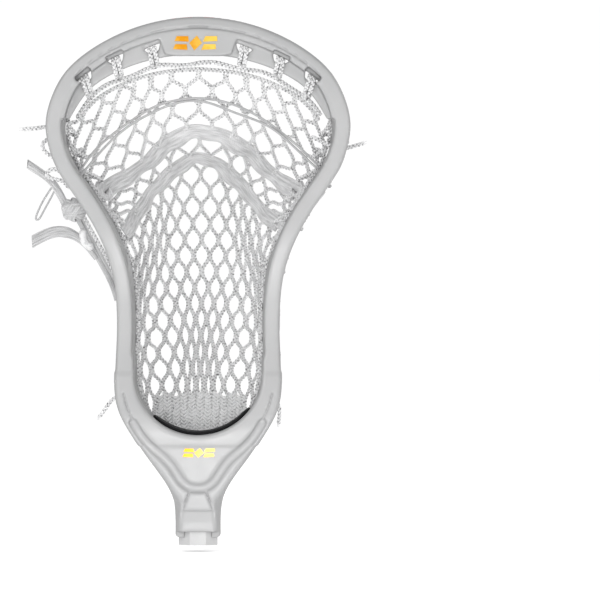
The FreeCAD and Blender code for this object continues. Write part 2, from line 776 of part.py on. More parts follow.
def check_and_write():
    doc.recompute()
    failed = [o.Name for o in doc.Objects if "Invalid" in o.State or "Error" in o.State]
    if failed:
        raise RuntimeError(f"these objects failed: {failed}")
    for label, feature in nodes.items():
        shape = feature.Shape
        if shape.isNull() or not shape.isValid() or not shape.Solids:
            raise RuntimeError(f"{label} has no valid solid")
    os.makedirs("parts", exist_ok=True)
    for label, feature in nodes.items():
        feature.Shape.exportStep(f"parts/{label}.step")
        box = feature.Shape.BoundBox
        print(f"{label}: {len(feature.Shape.Solids)} solid, {feature.Shape.Volume:.0f} mm3, "
              f"X {box.XMin:.1f}..{box.XMax:.1f} Y {box.YMin:.1f}..{box.YMax:.1f} Z {box.ZMin:.1f}..{box.ZMax:.1f}")


build()
check_and_write()
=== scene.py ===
import math
from functools import reduce

import bpy
import numpy as np
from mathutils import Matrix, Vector


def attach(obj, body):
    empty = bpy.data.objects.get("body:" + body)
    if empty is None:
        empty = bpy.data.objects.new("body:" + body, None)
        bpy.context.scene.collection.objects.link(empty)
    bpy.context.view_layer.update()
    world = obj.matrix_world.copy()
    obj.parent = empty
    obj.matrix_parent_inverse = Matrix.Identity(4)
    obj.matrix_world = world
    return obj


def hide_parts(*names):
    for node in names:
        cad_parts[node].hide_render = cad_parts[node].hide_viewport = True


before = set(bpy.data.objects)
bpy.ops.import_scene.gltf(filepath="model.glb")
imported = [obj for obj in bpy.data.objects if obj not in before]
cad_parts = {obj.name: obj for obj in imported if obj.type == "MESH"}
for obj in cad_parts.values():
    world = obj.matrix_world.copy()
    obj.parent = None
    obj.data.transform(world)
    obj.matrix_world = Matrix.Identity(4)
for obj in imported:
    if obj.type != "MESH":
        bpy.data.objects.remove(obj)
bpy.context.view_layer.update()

# A strung lacrosse head. Shapes are worked out in millimetres in the CAD's frame: +Z up the shaft,
# the open face towards -Y and the pocket towards +Y. Meshes are scaled to metres when they are made.

MM = 0.001
FULL_TURN = 6.2832
COS_45 = 0.7071
BODY = "root"
UP = np.array([0.0, 0.0, 1.0])
BACK = np.array([0.0, 1.0, 0.0])

# The moulded head: the height of its tip and the width of its rim, then how far the rear rail is set in,
# its thickness and where it begins and ends, how far in from its back edge the string holes are, and the
# height of the head screw.
TIP = 320.0
RIM = 9.7
REAR_INSET = 3.6
REAR_WALL = 7.0
REAR_FOOT = 66.0
REAR_TOP = 302.0
HOLE_INSET = 4.2
SCREW_HEIGHT = 36.0

# ---- Camera and light ----


def add_camera():
    """Straight on to the face, with the head to the left of the middle of the frame."""
    data = bpy.data.cameras.new("camera")
    data.sensor_width = 36.0
    data.lens = 297.0
    data.clip_end = 20.0
    camera = bpy.data.objects.new("camera", data)
    camera.location = (0.0617, -3.0, 0.1482)
    camera.rotation_euler = (math.pi / 2, 0.0, 0.0)
    bpy.context.collection.objects.link(camera)
    bpy.context.scene.camera = camera


def add_area_light(name, place, target, size, power):
    """A soft rectangular light that looks at a place."""
    data = bpy.data.lights.new(name, "AREA")
    data.shape = "RECTANGLE"
    data.size, data.size_y = size
    data.energy = power
    light = bpy.data.objects.new(name, data)
    light.location = place
    light.rotation_euler = (Vector(target) - Vector(place)).to_track_quat("-Z", "Y").to_euler()
    bpy.context.collection.objects.link(light)


def add_lights():
    """A white room, a little darker at the sides so that round edges read, with a soft key on the face,
    one on the back, and a small light low down on the socket."""
    add_area_light("key", (-1.0, -1.6, 1.5), (0.0, 0.0, 0.16), (0.9, 0.9), 9.0)
    add_area_light("back", (1.2, 1.6, 0.9), (0.0, 0.05, 0.16), (0.9, 0.9), 7.0)
    add_area_light("low", (0.0, -0.45, 0.04), (0.0, 0.0, 0.04), (0.12, 0.06), 0.52)
    world = bpy.data.worlds.new("studio")
    world.use_nodes = True
    nodes, links = world.node_tree.nodes, world.node_tree.links
    direction = nodes.new("ShaderNodeTexCoord")
    parts = nodes.new("ShaderNodeSeparateXYZ")
    links.new(direction.outputs["Generated"], parts.inputs["Vector"])
    ramp = nodes.new("ShaderNodeValToRGB")
    ramp.color_ramp.elements[0].position = 0.0
    ramp.color_ramp.elements[0].color = (0.42, 0.42, 0.42, 1.0)
    ramp.color_ramp.elements[1].position = 0.9
    ramp.color_ramp.elements[1].color = (1.0, 1.0, 1.0, 1.0)
    spread = nodes.new("ShaderNodeMath")
    spread.operation = "ABSOLUTE"
    links.new(parts.outputs["Y"], spread.inputs[0])
    links.new(spread.outputs["Value"], ramp.inputs["Fac"])
    links.new(ramp.outputs["Color"], nodes["Background"].inputs["Color"])
    nodes["Background"].inputs["Strength"].default_value = 1.02
    bpy.context.scene.world = world
    bpy.context.scene.view_settings.view_transform = "Standard"


# ---- Materials ----


class Shader:
    """A node material with one Principled shader, and short ways to add the nodes it needs."""

    def __init__(self, name, color, roughness, **inputs):
        self.material = bpy.data.materials.new(name)
        self.material.use_nodes = True
        self.tree = self.material.node_tree
        self.principled = self.tree.nodes["Principled BSDF"]
        self.principled.inputs["Base Color"].default_value = (*color, 1.0)
        self.principled.inputs["Roughness"].default_value = roughness
        for socket, value in inputs.items():
            self.principled.inputs[socket.replace("_", " ")].default_value = value

    def node(self, kind, **settings):
        made = self.tree.nodes.new(kind)
        for key, value in settings.items():
            setattr(made, key, value)
        return made

    def link(self, source, target):
        self.tree.links.new(source, target)

    def position(self):
        return self.node("ShaderNodeNewGeometry").outputs["Position"]

    def noise(self, scale, detail=2.0, roughness=0.5, over=None):
        """Noise over space, in waves per metre, or over another vector."""
        made = self.node("ShaderNodeTexNoise")
        made.inputs["Scale"].default_value = scale
        made.inputs["Detail"].default_value = detail
        made.inputs["Roughness"].default_value = roughness
        self.link(over or self.position(), made.inputs["Vector"])
        return made.outputs["Fac"]

    def ramp(self, source, low, high, position_low=0.3, position_high=0.7):
        made = self.node("ShaderNodeValToRGB")
        made.color_ramp.elements[0].position = position_low
        made.color_ramp.elements[0].color = (*low, 1.0)
        made.color_ramp.elements[1].position = position_high
        made.color_ramp.elements[1].color = (*high, 1.0)
        self.link(source, made.inputs["Fac"])
        return made.outputs["Color"]

    def color_from(self, source):
        self.link(source, self.principled.inputs["Base Color"])

    def roughness_from(self, source, low, high):
        made = self.node("ShaderNodeMapRange")
        made.inputs["To Min"].default_value = low
        made.inputs["To Max"].default_value = high
        self.link(source, made.inputs["Value"])
        self.link(made.outputs["Result"], self.principled.inputs["Roughness"])

    def bump_from(self, source, distance, strength=1.0):
        made = self.node("ShaderNodeBump")
        made.inputs["Distance"].default_value = distance
        made.inputs["Strength"].default_value = strength
        self.link(source, made.inputs["Height"])
        self.link(made.outputs["Normal"], self.principled.inputs["Normal"])

    def painted_edge_shade(self, source, shade):
        """Painted shade: the colour falls off where the surface turns away, as glossy mouldings look on a
        white ground.
        """
        facing = self.node("ShaderNodeLayerWeight")
        facing.inputs["Blend"].default_value = 0.28
        made = self.node("ShaderNodeMix", data_type="RGBA")
        made.inputs["B"].default_value = (*shade, 1.0)
        self.link(facing.outputs["Facing"], made.inputs["Factor"])
        self.link(source, made.inputs["A"])
        return made.outputs["Result"]

    def math(self, operation, first, second):
        """Arithmetic on two values, each a number or another node's output."""
        made = self.node("ShaderNodeMath", operation=operation)
        for index, value in enumerate((first, second)):
            if isinstance(value, (int, float)):
                made.inputs[index].default_value = value
            else:
                self.link(value, made.inputs[index])
        return made.outputs["Value"]

    def parts(self, vector):
        """The first two parts of a vector."""
        made = self.node("ShaderNodeSeparateXYZ")
        self.link(vector, made.inputs["Vector"])
        return made.outputs["X"], made.outputs["Y"]

    def uv(self):
        return self.node("ShaderNodeUVMap").outputs["UV"]


def head_plastic():
    """Glossy white moulded nylon, very slightly uneven, with a fine moulding texture and painted shade
    towards its edges.
    """
    shader = Shader("head_plastic", (0.6, 0.6, 0.6), 0.3, Specular_IOR_Level=0.35)
    broad = shader.ramp(shader.noise(26.0, 3.0), (0.41, 0.412, 0.415), (0.44, 0.44, 0.442))
    # Painted shade: the base colour darkens where the surface turns away from the view.
    shader.color_from(shader.painted_edge_shade(broad, (0.13, 0.13, 0.132)))
    shader.roughness_from(shader.noise(160.0, 4.0), 0.24, 0.38)
    shader.bump_from(shader.noise(900.0, 2.0), 0.00003, 0.5)
    return shader.material


def cord_fabric(name, color, shade, scale, sheen=0.15):
    """Polyester yarn: fine fibres, and painted shade where one strand dips under the next (kept in the
    UVs).
    """
    shader = Shader(name, color, 0.72, Sheen_Weight=sheen, Sheen_Roughness=0.4)
    fibres = shader.noise(scale, 3.0, 0.7)
    painted_plait_shade, _ = shader.parts(shader.uv())
    flecks = shader.math("MULTIPLY", shader.noise(scale * 0.4, 2.0, 0.6), 0.9)
    # The ramp paints shade where the plait height is low, mixed with random flecks of tone.
    height = shader.math("ADD", shader.math("MULTIPLY", painted_plait_shade, 0.6), flecks)
    shader.color_from(shader.ramp(height, shade, color, 0.42, 0.86))
    shader.roughness_from(shader.noise(scale * 0.5), 0.6, 0.85)
    shader.bump_from(fibres, 0.00012, 0.7)
    return shader.material


def lace_fabric(name, shade, light):
    """Flat woven lace: lengthwise warps that pull into streaks, crossed by a fine weft (in the UVs)."""
    shader = Shader(name, light, 0.75, Sheen_Weight=0.3, Sheen_Roughness=0.4)
    across, along = shader.parts(shader.uv())
    stretched = shader.node("ShaderNodeCombineXYZ")
    shader.link(shader.math("MULTIPLY", across, 9.0), stretched.inputs["X"])
    shader.link(shader.math("MULTIPLY", along, 0.13), stretched.inputs["Y"])
    streaks = shader.noise(1.0, 3.0, 0.6, over=stretched.outputs["Vector"])
    folded = shader.math("PINGPONG", shader.math("MULTIPLY", across, 8.0), 1.0)
    weft = shader.math("SINE", shader.math("MULTIPLY", shader.math("ADD", along, folded), FULL_TURN), 0.0)
    height = shader.math("ADD", streaks, shader.math("MULTIPLY", weft, 0.05))
    shader.color_from(shader.ramp(height, shade, light, 0.28, 0.66))
    shader.roughness_from(shader.noise(700.0), 0.65, 0.85)
    shader.bump_from(height, 0.0005, 0.8)
    return shader.material


def foam():
    """Black closed-cell foam with small pores."""
    shader = Shader("black_foam", (0.004, 0.004, 0.005), 0.6, Specular_IOR_Level=0.12)
    cells = shader.node("ShaderNodeTexVoronoi")
    cells.inputs["Scale"].default_value = 1400.0
    shader.link(shader.position(), cells.inputs["Vector"])
    pores = cells.outputs["Distance"]
    # Painted shade: the colour is darkest in the middle of each pore, where the bump dents the surface.
    shader.color_from(shader.ramp(pores, (0.003, 0.003, 0.004), (0.010, 0.010, 0.011), 0.1, 0.6))
    shader.roughness_from(shader.noise(500.0), 0.5, 0.75)
    shader.bump_from(pores, 0.0002, 0.6)
    return shader.material


def shaft_coating():
    """White powder coat on the aluminium tube."""
    shader = Shader("shaft_coating", (0.62, 0.62, 0.625), 0.38)
    grain = shader.noise(2400.0, 3.0)
    shader.color_from(shader.ramp(shader.noise(60.0), (0.48, 0.48, 0.485), (0.54, 0.54, 0.542)))
    shader.roughness_from(grain, 0.32, 0.5)
    shader.bump_from(grain, 0.00003, 0.5)
    return shader.material


def screw_steel():
    """Bright plated steel, a little brushed."""
    shader = Shader("screw_steel", (0.55, 0.55, 0.57), 0.3, Metallic=1.0)
    shader.color_from(shader.ramp(shader.noise(400.0), (0.42, 0.42, 0.44), (0.62, 0.62, 0.64)))
    shader.roughness_from(shader.noise(1800.0, 4.0), 0.22, 0.45)
    shader.bump_from(shader.noise(3000.0), 0.00002, 0.6)
    return shader.material


def red_film():
    """Glossy printed film, plain red, a little scuffed."""
    shader = Shader("red_label", (0.72, 0.004, 0.006), 0.35, Specular_IOR_Level=0.3)
    shader.color_from(shader.ramp(shader.noise(220.0, 4.0), (0.66, 0.003, 0.005), (0.80, 0.005, 0.008)))
    shader.roughness_from(shader.noise(900.0, 3.0), 0.2, 0.4)
    shader.bump_from(shader.noise(1500.0), 0.00002, 0.5)
    return shader.material


def gold_foil():
    """Hot-stamped foil that runs from amber to pale gold."""
    shader = Shader("gold_foil", (0.9, 0.55, 0.06), 0.32, Metallic=0.55)
    place_x, _ = shader.parts(shader.position())
    sweep = shader.math("ADD", shader.math("MULTIPLY", place_x, 55.0), shader.noise(240.0))
    folded = shader.math("PINGPONG", sweep, 1.0)
    shader.color_from(shader.ramp(folded, (0.76, 0.30, 0.0), (0.94, 0.62, 0.10), 0.1, 0.9))
    shader.roughness_from(shader.noise(1200.0), 0.25, 0.45)
    shader.bump_from(shader.noise(2000.0, 3.0), 0.00002, 0.6)
    return shader.material


def floor_paper():
    """The studio's white paper, which glows a little so that it stays white."""
    shader = Shader("floor_paper", (0.93, 0.93, 0.93), 0.9, Emission_Strength=0.4)
    shader.principled.inputs["Emission Color"].default_value = (1.0, 1.0, 1.0, 1.0)
    shader.color_from(shader.ramp(shader.noise(300.0), (0.92, 0.92, 0.92), (0.94, 0.94, 0.94)))
    return shader.material


# ---- Curves ----


def unit(vectors):
    """Vectors, one to a row, brought to length one."""
    return vectors / np.linalg.norm(vectors, axis=1)[:, None]


def lengths_along(line):
    """The distance along a line to each of its points."""
    return np.concatenate([[0.0], np.cumsum(np.linalg.norm(np.diff(line, axis=0), axis=1))])


def natural_spline(points, samples):
    """Points on a natural cubic spline through the given ones, by chord length."""
    points = np.asarray(points, float)
    knots = lengths_along(points)
    gaps = np.diff(knots)
    count = len(points)
    system = np.eye(count)
    right = np.zeros_like(points)
    for i in range(1, count - 1):
        before, after = gaps[i - 1], gaps[i]
        system[i, i - 1:i + 2] = before, 2 * (before + after), after
        right[i] = 6 * ((points[i + 1] - points[i]) / after - (points[i] - points[i - 1]) / before)
    second = np.linalg.solve(system, right)
    at = np.linspace(0, knots[-1], samples)
    k = np.clip(np.searchsorted(knots, at, side="right") - 1, 0, count - 2)
    gap = gaps[k][:, None]
    a = ((knots[k + 1] - at) / gaps[k])[:, None]
    b = 1 - a
    bend = (a ** 3 - a) * second[k] + (b ** 3 - b) * second[k + 1]
    return a * points[k] + b * points[k + 1] + bend * gap ** 2 / 6


def graph(points):
    """A smooth function of Z through (Z, value) pairs."""
    curve = natural_spline(points, 400)
    order = np.argsort(curve[:, 0])
    heights, values = curve[order, 0], curve[order, 1]
    return lambda z: np.interp(z, heights, values)


# Right half of the head's outline seen from the front, from the tip to the socket: X, Z.
OUTLINE = [
    (0.0, TIP), (28.0, TIP - 3.5), (54.0, 306.5), (69.0, 297.0), (80.5, 286.0), (88.5, 271.5),
    (92.3, 255.0), (90.5, 241.0), (85.5, 227.5), (76.5, 213.5), (66.5, 198.5), (57.5, 181.0), (52.0, 164.0),
    (49.8, 147.0), (49.4, 126.0), (50.2, 103.0), (48.0, 83.0), (40.5, 68.0), (31.0, 53.5),
    (20.8, 39.5), (15.2, 28.5), (13.8, 19.0), (13.8, 2.0),
]
BOWL_CENTRE = 106.0
BOWL_RADIUS = 40.0
BOWL_WIDENS = 112.0

# Depth profiles seen from the side: Z, Y.
FRONT_EDGE = graph([
    (320, -1.0), (297, -6.0), (283, -8.0), (262, -7.7), (235, -6.2), (210, -4.8), (190, -5.0),
    (170, -2.5), (150, -0.6), (133, -1.0), (118, -3.0), (102, -7.5), (86, -12.5), (71, -15.4),
    (58, -15.0), (44, -14.8), (28, -15.2), (2, -14.8),
])
FRONT_RAIL_BACK = graph([
    (320, 8.0), (300, 8.0), (270, 7.0), (240, 8.0), (220, 12.5), (200, 10.5), (178, 9.8), (160, 11.5),
    (140, 15.0), (128, 15.0), (112, 10.5), (95, 6.5), (80, 7.0), (60, 10.0), (2, 10.0),
])
REAR_FRONT = graph([
    (300, 0.0), (285, 4.0), (270, 8.0), (255, 12.5), (234, 20.5), (206, 30.5), (190, 30.0), (176, 29.5),
    (156, 28.5), (135, 25.5), (116, 21.0), (101, 16.5), (84, 9.0), (68, 2.0),
])
REAR_EDGE = graph([
    (300, 9.0), (285, 14.0), (270, 21.5), (252, 30.0), (234, 37.5), (216, 45.0), (203, 47.6),
    (185, 46.0), (165, 43.5), (140, 42.0), (118, 39.5), (100, 35.5), (82, 30.5), (68, 24.0), (60, 20.0),
])
THROAT_BACK = graph([
    (104, 4.0), (96, 14.0), (84, 22.0), (68, 24.0), (58, 17.0), (44, 13.2), (30, 13.4), (22, 14.4),
    (14, 15.2), (2, 13.0),
])
POCKET_DEPTH = graph([
    (290, 9.0), (271, 17.0), (252, 34.0), (240, 54.0), (228, 76.0), (215, 89.0), (202, 98.0),
    (187, 104.0), (176, 106.0), (163, 104.0), (148, 98.0), (133, 88.0), (118, 73.0), (105, 61.0),
    (92, 54.0), (75, 49.0), (60, 45.5), (50, 41.0), (44, 34.0), (41, 27.0),
])
POCKET_EDGE = graph([
    (290, 9.0), (271, 15.0), (252, 21.0), (234, 28.0), (215, 36.0), (203, 39.0), (185, 38.0),
    (163, 36.5), (140, 35.5), (118, 32.0), (100, 28.0), (82, 25.0), (68, 24.0), (50, 22.0), (41, 21.0),
])
SCOOP_LIP = [(0.0, 297.0), (22.0, 295.0), (51.0, 285.6), (66.0, 275.5), (78.0, 258.0)]

LIP_CURVE = natural_spline(SCOOP_LIP, 60)
OUTLINE_CURVE = natural_spline([(-x, z) for x, z in OUTLINE[3:0:-1]] + OUTLINE, 700)


def half_width(z):
    """Half width of the head's outline at a height."""
    right = OUTLINE_CURVE[OUTLINE_CURVE[:, 0] >= 0]
    return np.interp(z, right[::-1, 1], right[::-1, 0])


def inset_outline(distance):
    """The right half of the outline moved inward."""
    along = unit(np.gradient(OUTLINE_CURVE, axis=0))
    moved = OUTLINE_CURVE + np.stack([along[:, 1], -along[:, 0]], axis=1) * distance
    return moved[moved[:, 0] > 0]


POCKET_RAIL = inset_outline(REAR_INSET + REAR_WALL + 0.4)
POCKET_POWER = 3.0
THROAT_TOP = 104.0
CLOSING_LENGTH = 54.0
CLOSING_WIDTH = 12.0


def pocket_half(z):
    """Half width of the pocket at a height: the rear rail's inner face, closing in behind the bowl."""
    rail = np.interp(np.maximum(z, THROAT_TOP), POCKET_RAIL[::-1, 1], POCKET_RAIL[::-1, 0])
    closing = np.maximum(THROAT_TOP - z, 0.0) / CLOSING_LENGTH
    return rail - CLOSING_WIDTH * closing ** 1.6


def pocket_point(share, z):
    """A point on the pocket, with share from -1 to 1 across it."""
    edge = POCKET_EDGE(z)
    depth = edge + (POCKET_DEPTH(z) - edge) * (1 - np.abs(share) ** POCKET_POWER)
    return np.stack([share * pocket_half(z), depth, z], axis=-1)


# ---- Meshes ----


def make_mesh(name, points, quads, material, uvs=None):
    """A smooth-shaded piece from arrays of points in millimetres and faces of four corners."""
    points = np.asarray(points, np.float32) * MM
    quads = np.asarray(quads, np.int32)
    mesh = bpy.data.meshes.new(name)
    mesh.vertices.add(len(points))
    mesh.vertices.foreach_set("co", points.ravel())
    mesh.loops.add(quads.size)
    mesh.loops.foreach_set("vertex_index", quads.ravel())
    mesh.polygons.add(len(quads))
    mesh.polygons.foreach_set("loop_start", np.arange(0, quads.size, 4, dtype=np.int32))
    mesh.polygons.foreach_set("use_smooth", np.ones(len(quads), bool))
    if uvs is not None:
        layer = mesh.uv_layers.new(name="UVMap")
        layer.data.foreach_set("uv", np.asarray(uvs, np.float32)[quads.ravel()].ravel())
    mesh.materials.append(material)
    mesh.update()
    mesh.validate()
    piece = bpy.data.objects.new(name, mesh)
    bpy.context.collection.objects.link(piece)
    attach(piece, BODY)
    return piece


def frames_along(line):
    """Two directions square to a line at each of its points, turning as little as they can."""
    tangents = np.gradient(line, axis=0)
    tangents /= np.linalg.norm(tangents, axis=1)[:, None] + 1e-12
    first = np.zeros_like(line)
    start = np.cross(tangents[0], (0.0, 1.0, 0.0))
    if np.linalg.norm(start) < 0.2:
        start = np.cross(tangents[0], (1.0, 0.0, 0.0))
    first[0] = start / np.linalg.norm(start)
    for i in range(1, len(line)):
        moved = first[i - 1] - tangents[i] * np.dot(first[i - 1], tangents[i])
        first[i] = moved / np.linalg.norm(moved)
    return first, np.cross(tangents, first)


def frames_facing(line, facing):
    """At each point of a line: the way along it, the given facing turned square to it, and across."""
    tangents = unit(np.gradient(line, axis=0))
    facing = np.asarray(facing, float) * np.ones((len(line), 1))
    normals = unit(facing - tangents * np.sum(tangents * facing, axis=1)[:, None])
    return tangents, normals, np.cross(tangents, normals)


# The ring that domes a tube's end: how far out and how wide it is, in radii.
DOME_REACH = 0.6
DOME_WIDTH = 0.45


class TubeSet:
    """Many closed tubes gathered into one mesh."""

    def __init__(self):
        self.points, self.quads, self.uvs, self.count = [], [], [], 0

    def add(self, line, radii, sides=6, height=0.75):
        """A round tube along a line, with domed ends. Height says how far it stands out of its plait; the
        cord materials paint shade where it is low.
        """
        line = np.asarray(line, float)
        height = np.broadcast_to(np.asarray(height, float), (len(line),))
        radii = np.broadcast_to(np.asarray(radii, float), (len(line),)).copy()
        out_of_start, out_of_end = line[0] - line[1], line[-1] - line[-2]
        start = line[0] + out_of_start / np.linalg.norm(out_of_start) * radii[0] * DOME_REACH
        end = line[-1] + out_of_end / np.linalg.norm(out_of_end) * radii[-1] * DOME_REACH
        line = np.vstack([start, line, end])
        radii = np.concatenate([[radii[0] * DOME_WIDTH], radii, [radii[-1] * DOME_WIDTH]])
        height = np.concatenate([height[:1], height, height[-1:]])
        first, second = frames_along(line)
        angles = np.linspace(0, 2 * math.pi, sides, endpoint=False)[None, :, None]
        spokes = np.cos(angles) * first[:, None, :] + np.sin(angles) * second[:, None, :]
        self.add_rings(line[:, None, :] + radii[:, None, None] * spokes, height)

    def add_rings(self, rings, height):
        """Faces round a stack of rings, with a fan of quads over each end.

        The fan covers an even number of sides. An odd number leaves one small triangle of each end open.
        """
        count, sides = rings.shape[:2]
        index = np.arange(count * sides).reshape(count, sides) + self.count
        nxt = np.roll(index, -1, axis=1)
        walls = np.stack([index[:-1], nxt[:-1], nxt[1:], index[1:]], axis=-1).reshape(-1, 4)
        self.quads.append(walls)
        for end, flip in ((index[0], True), (index[-1], False)):
            for k in range(1, sides - 2, 2):
                corners = [end[0], end[k], end[k + 1], end[k + 2]]
                self.quads.append(np.array([corners[::-1] if flip else corners]))
        self.points.append(rings.reshape(-1, 3))
        along = np.repeat(np.arange(count), sides) / max(count - 1, 1)
        # The height is kept in the UVs, where the cord materials use it for painted shade.
        self.uvs.append(np.stack([np.repeat(height, sides), along], axis=1))
        self.count += count * sides

    def piece(self, name, material, slot):
        points, quads, uvs = np.vstack(self.points), np.vstack(self.quads), np.vstack(self.uvs)
        return make_mesh(name, points, quads, material, uvs)


def resampled(line, step):
    """The same line with points a step apart."""
    line = np.asarray(line, float)
    lengths = lengths_along(line)
    count = max(int(lengths[-1] / step), 3) + 1
    at = np.linspace(0, lengths[-1], count)
    return np.stack([np.interp(at, lengths, line[:, i]) for i in range(3)], axis=1)


def braid(tubes, line, radius, period, step=0.5, sides=5, facing=None):
    """Three yarns plaited round a line: the look of braided or knitted cord."""
    line = resampled(line, step)
    if facing is None:
        across, out = frames_along(line)
    else:
        _, out, left = frames_facing(line, facing)
        across = -left
    lengths = lengths_along(line)
    yarn = radius * 0.44
    for strand in range(3):
        phase = 2 * math.pi * (lengths / period + strand / 3)
        side = np.sin(phase)[:, None] * (radius - yarn)
        lift = np.sin(2 * phase)[:, None] * radius * 0.36
        # Painted shade: the height is low where a yarn crosses the others and at the braid's sides, so the
        # cord material darkens it there.
        height = 0.1 + 0.8 * np.abs(np.sin(2 * phase))
        tubes.add(line + across * side + out * lift, yarn, sides, height)


# ---- Moulded head, as a field of signed distances ----

# The grid the head is worked out on: its step and its reach on each axis. X covers the right half only.
VOXEL = 0.75
GRID_X = np.arange(0.0, 94.6, VOXEL, dtype=np.float32)
GRID_Y = np.arange(-18.6, 50.6, VOXEL, dtype=np.float32)
GRID_Z = np.arange(0.4, 322.6, VOXEL, dtype=np.float32)

# How steeply the scoop's rim leans inward towards the back, and the depth from which it leans.
RIM_LEAN = 0.95
RIM_LEAN_START = 1.0
# The same lean, in millimetres for each millimetre back, at a few heights of the head.
LEAN = {100: 0.03, 250: 0.05, 270: 0.15, 285: 0.45, 300: RIM_LEAN}
# The struts that join the front and rear rails: both ends (Y, Z) and the radius.
STRUTS = [((15.0, 256.0), (8.0, 229.0), 4.4), ((32.0, 172.0), (12.5, 134.0), 5.2)]
# Depth of the front of the scoop's raised pad, and half the thickness of the plate behind the rim.
PAD_FRONT = -3.2
PLATE_HALF = 1.7
# The scoop's slots for the top string: X, Z and how far each leans, in degrees.
SLOTS = [(28.0, 301.5, 22.0), (50.0, 295.0, 26.0), (69.0, 284.0, 40.0)]
HOLE_PITCH = 13.2
STRING_HOLES = [88.0 + HOLE_PITCH * step for step in range(14)]
# Lines on the throat's front face: X, Z.
VALLEY = [(39.0, 74.0), (34.0, 66.0), (27.0, 58.5), (20.0, 52.5), (14.0, 45.0), (9.0, 38.0),
          (4.0, 35.0), (-4.0, 35.0)]
SIDE_STEP = [(45.0, 92.0), (42.0, 82.0), (37.0, 73.0)]


def round_intersect(a, b, radius):
    """Where both fields are inside, with the edge between them rounded."""
    inner_a, inner_b = a + radius, b + radius
    corner = np.hypot(np.maximum(inner_a, 0), np.maximum(inner_b, 0))
    return np.minimum(np.maximum(inner_a, inner_b), 0) + corner - radius


def inside_all(*fields):
    """Where every field is inside."""
    return reduce(np.maximum, fields)


def smooth_union(a, b, radius):
    """Where either field is inside, with a fillet between them."""
    blend = np.clip(0.5 + 0.5 * (b - a) / radius, 0, 1)
    return b + (a - b) * blend - radius * blend * (1 - blend)


def distance_to_line(line, u, v):
    """Distance from every point of a grid to a polyline."""
    best = np.full((len(u), len(v)), 1e9, np.float32)
    grid_u, grid_v = np.meshgrid(u, v, indexing="ij")
    for (u0, v0), (u1, v1) in zip(line, line[1:]):
        du, dv = u1 - u0, v1 - v0
        share = np.clip(((grid_u - u0) * du + (grid_v - v0) * dv) / (du * du + dv * dv + 1e-9), 0, 1)
        best = np.minimum(best, np.hypot(grid_u - u0 - share * du, grid_v - v0 - share * dv))
    return best


def capsule(u, v, start, end, radius):
    """A rounded bar between two points of a plane."""
    du, dv = end[0] - start[0], end[1] - start[1]
    share = np.clip(((u - start[0]) * du + (v - start[1]) * dv) / (du * du + dv * dv), 0, 1)
    return np.hypot(u - start[0] - share * du, v - start[1] - share * dv) - radius


def at_heights(profile):
    """A depth profile laid along the heights of the grid."""
    return profile(GRID_Z)[None, None, :]


def head_field():
    """The signed distance to the moulded head over the right half of the grid."""
    x, y, z = GRID_X[:, None, None], GRID_Y[None, :, None], GRID_Z[None, None, :]
    flat_x, flat_z = GRID_X[:, None], GRID_Z[None, :]

    outline = distance_to_line(OUTLINE_CURVE[::4], GRID_X, GRID_Z)
    outside = flat_x > half_width(flat_z)
    inward = np.where(outside | (flat_z > TIP), -outline, outline)

    def opening(distance):
        """The open middle, a distance in from the outline, with the round bowl at its foot."""
        bowl = np.hypot(flat_x, np.minimum(flat_z - BOWL_CENTRE, 0)) - BOWL_RADIUS
        bowl = bowl - np.maximum(flat_z - BOWL_WIDENS, 0) * 0.8 + (distance - RIM)
        return -round_intersect(distance - inward, bowl, 4.0)

    # The rim and the front rails.
    front_y, rail_back = at_heights(FRONT_EDGE), at_heights(FRONT_RAIL_BACK)
    ring = np.maximum(-inward, opening(RIM))
    rail_ring = np.where(flat_z > 60, ring, 50.0)
    lean = np.interp(GRID_Z, list(LEAN), list(LEAN.values()))
    leaning = lean.astype(np.float32) * np.maximum(y - RIM_LEAN_START, 0) - inward[:, None, :]
    rail_plan = np.maximum(rail_ring[:, None, :], leaning)
    body = round_intersect(rail_plan, np.maximum(front_y - y, y - rail_back), 2.4)

    # The rear rails, set in a little from the outline.
    rear_ring = np.maximum(REAR_INSET - inward, opening(REAR_INSET + REAR_WALL))
    rear_low, rear_high = at_heights(REAR_FRONT), at_heights(REAR_EDGE)
    rear_ends = np.maximum(REAR_FOOT - flat_z, flat_z - REAR_TOP)
    rear_plan = np.maximum(np.maximum(rear_ring, rear_ends)[:, None, :], leaning)
    rear = round_intersect(rear_plan, np.maximum(rear_low - y, y - rear_high), 2.2)
    body = smooth_union(body, rear, 3.0)

    # The struts between the two, as bars seen from the side.
    side_y, side_z = GRID_Y[:, None], GRID_Z[None, :]
    strut_band = np.maximum(1.6 - inward, inward - 9.6)[:, None, :]
    upper, lower = (capsule(side_y, side_z, *strut)[None] for strut in STRUTS)
    struts = round_intersect(strut_band, np.minimum(upper, lower), 2.2)
    body = smooth_union(body, struts, 4.0)

    body = smooth_union(body, scoop_field(inward, x, y, z), 1.2)
    body = smooth_union(body, throat_field(ring, x, y, z), 2.5)
    body = cut_slots(body, x, y, z)
    body = cut_string_holes(body, x, y, z)
    body = cut_face(body, inward, x, z, y - front_y)
    return cut_socket(body, x, y, z).astype(np.float32)


def plate_front(z):
    """Depth of the scoop plate's front face."""
    return -1.4 + (300.0 - z) * 0.085


